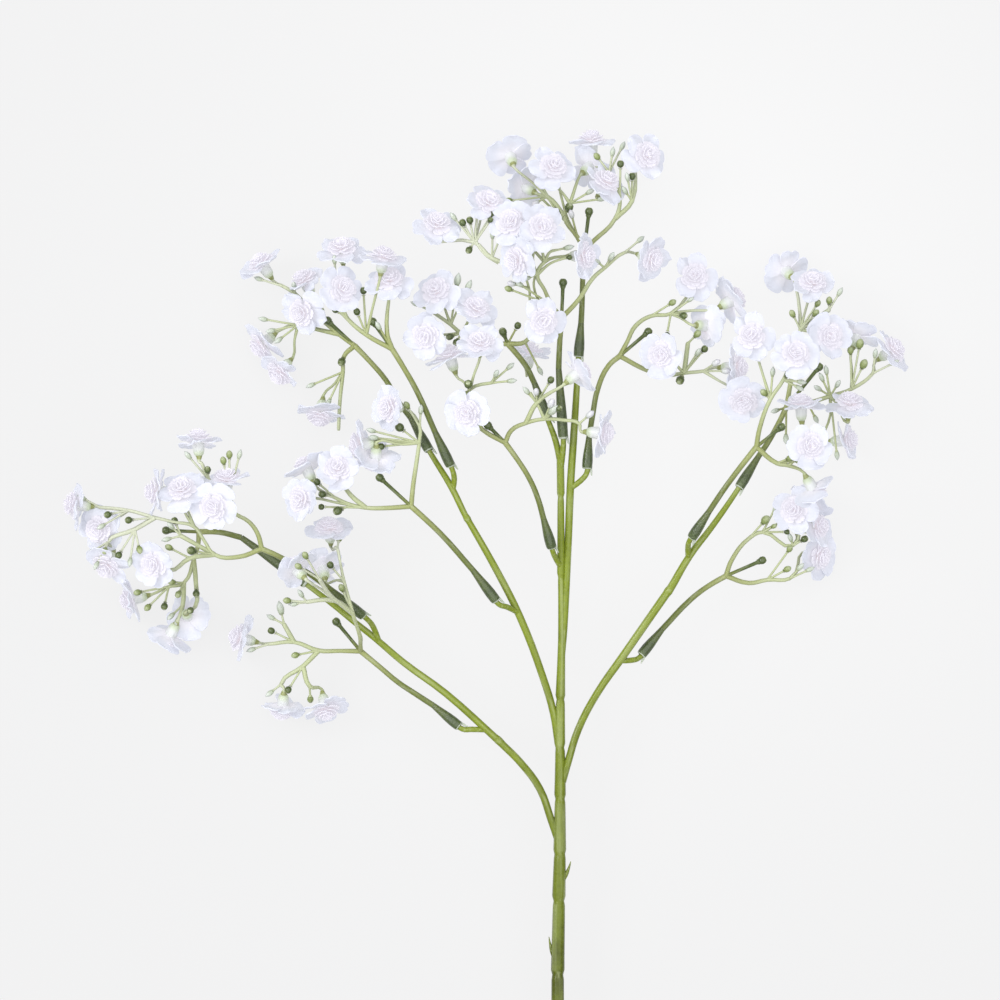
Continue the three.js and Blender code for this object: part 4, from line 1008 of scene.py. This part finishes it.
studio = {
    "floorSize": 40,
    "floorDrop": 0.2,
    "floorColours": ("3e3e3f", "414142"),
    "floorCloud": 1.5,
    "floorGlow": (0.79, 0.87),  # the floor glows as a light table, plus a painted pool of light under the blooms that lifts their shadow
    "lightPoolMiddle": (0.2, 0.55, 0),  # in widths of the view
    "worldColour": "fbfbfd",
    "worldStrength": 0.32,
    "boxStrength": 3.9,  # a wide soft box overhead
    "boxAngle": 110,
    "keySize": 1.0,
    "keyPower": 20,
    "keyFrom": (-1.5, 0.6, 1.5),
    "view": 350,  # width of what the camera sees, mm
    "viewMiddle": (-21, 175, 28),
    "lens": 300,
    "sensor": 36,
    "clip": (0.1, 100),
}


def makeFloor():
    bpy.ops.mesh.primitive_plane_add(size=studio["floorSize"], location=(0, 0, -studio["floorDrop"] * mm))
    floor = bpy.context.object
    floor.name = "floor"
    paper = bpy.data.materials.new("palePaper")
    paper.use_nodes = True
    tree = paper.node_tree
    place = added(tree, "TexCoord", "Object")
    cloud = added(tree, "TexNoise", "Fac", {"Vector": place, "Scale": studio["floorCloud"]})
    ramp = added(tree, "ValToRGB", "Color", {"Fac": cloud})
    for stop, code in zip(ramp.node.color_ramp.elements, studio["floorColours"]):
        stop.color = tone(code)
    width = studio["view"] * mm
    near = added(tree, "Mapping", "Vector", {
        "Vector": place, "Location": Vector(studio["lightPoolMiddle"]) * width, "Scale": (width, width, width)},
        vector_type="TEXTURE")
    # A painted pool of light: the glow is greatest round the middle under the blooms, lifting their shadow on
    # the floor
    fade = added(tree, "TexGradient", "Fac", {"Vector": near}, gradient_type="QUADRATIC_SPHERE")
    least, most = studio["floorGlow"]
    glow = added(tree, "MapRange", "Result", {"Value": fade, "To Min": least, "To Max": most})
    fed(tree.nodes["Principled BSDF"], {
        "Base Color": ramp, "Roughness": 0.95, "Specular IOR Level": 0.1,
        "Emission Color": tone("ffffff"), "Emission Strength": glow})
    floor.data.materials.append(paper)
    floor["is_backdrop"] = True


def makeLight():
    world = bpy.data.worlds.new("studioWorld")
    world.use_nodes = True
    sky = world.node_tree.nodes["Background"]
    fed(sky, {"Color": tone(studio["worldColour"]), "Strength": studio["worldStrength"]})
    bpy.context.scene.world = world
    bpy.ops.object.light_add(type="SUN")
    above = bpy.context.object
    above.name = "softBox"
    above.data.energy = studio["boxStrength"]
    above.data.angle = radians(studio["boxAngle"])
    bpy.ops.object.light_add(type="AREA", location=studio["keyFrom"])
    key = bpy.context.object
    key.name = "keyLight"
    key.data.size = studio["keySize"]
    key.data.energy = studio["keyPower"]
    key.rotation_euler = (-Vector(studio["keyFrom"])).to_track_quat("-Z", "Y").to_euler()


def makeCamera():
    x, y, z = laid(studio["viewMiddle"])
    distance = studio["view"] * mm * studio["lens"] / studio["sensor"]
    bpy.ops.object.camera_add(location=(x, y, z + distance))
    camera = bpy.context.object
    camera.name = "camera"
    camera.data.lens = studio["lens"]
    camera.data.sensor_width = studio["sensor"]
    camera.data.clip_start, camera.data.clip_end = studio["clip"]
    bpy.context.scene.camera = camera
    bpy.context.scene.view_settings.view_transform = "Standard"


makeFloor()
makeLight()
makeCamera()
print("floor, light and camera made")

low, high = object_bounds()
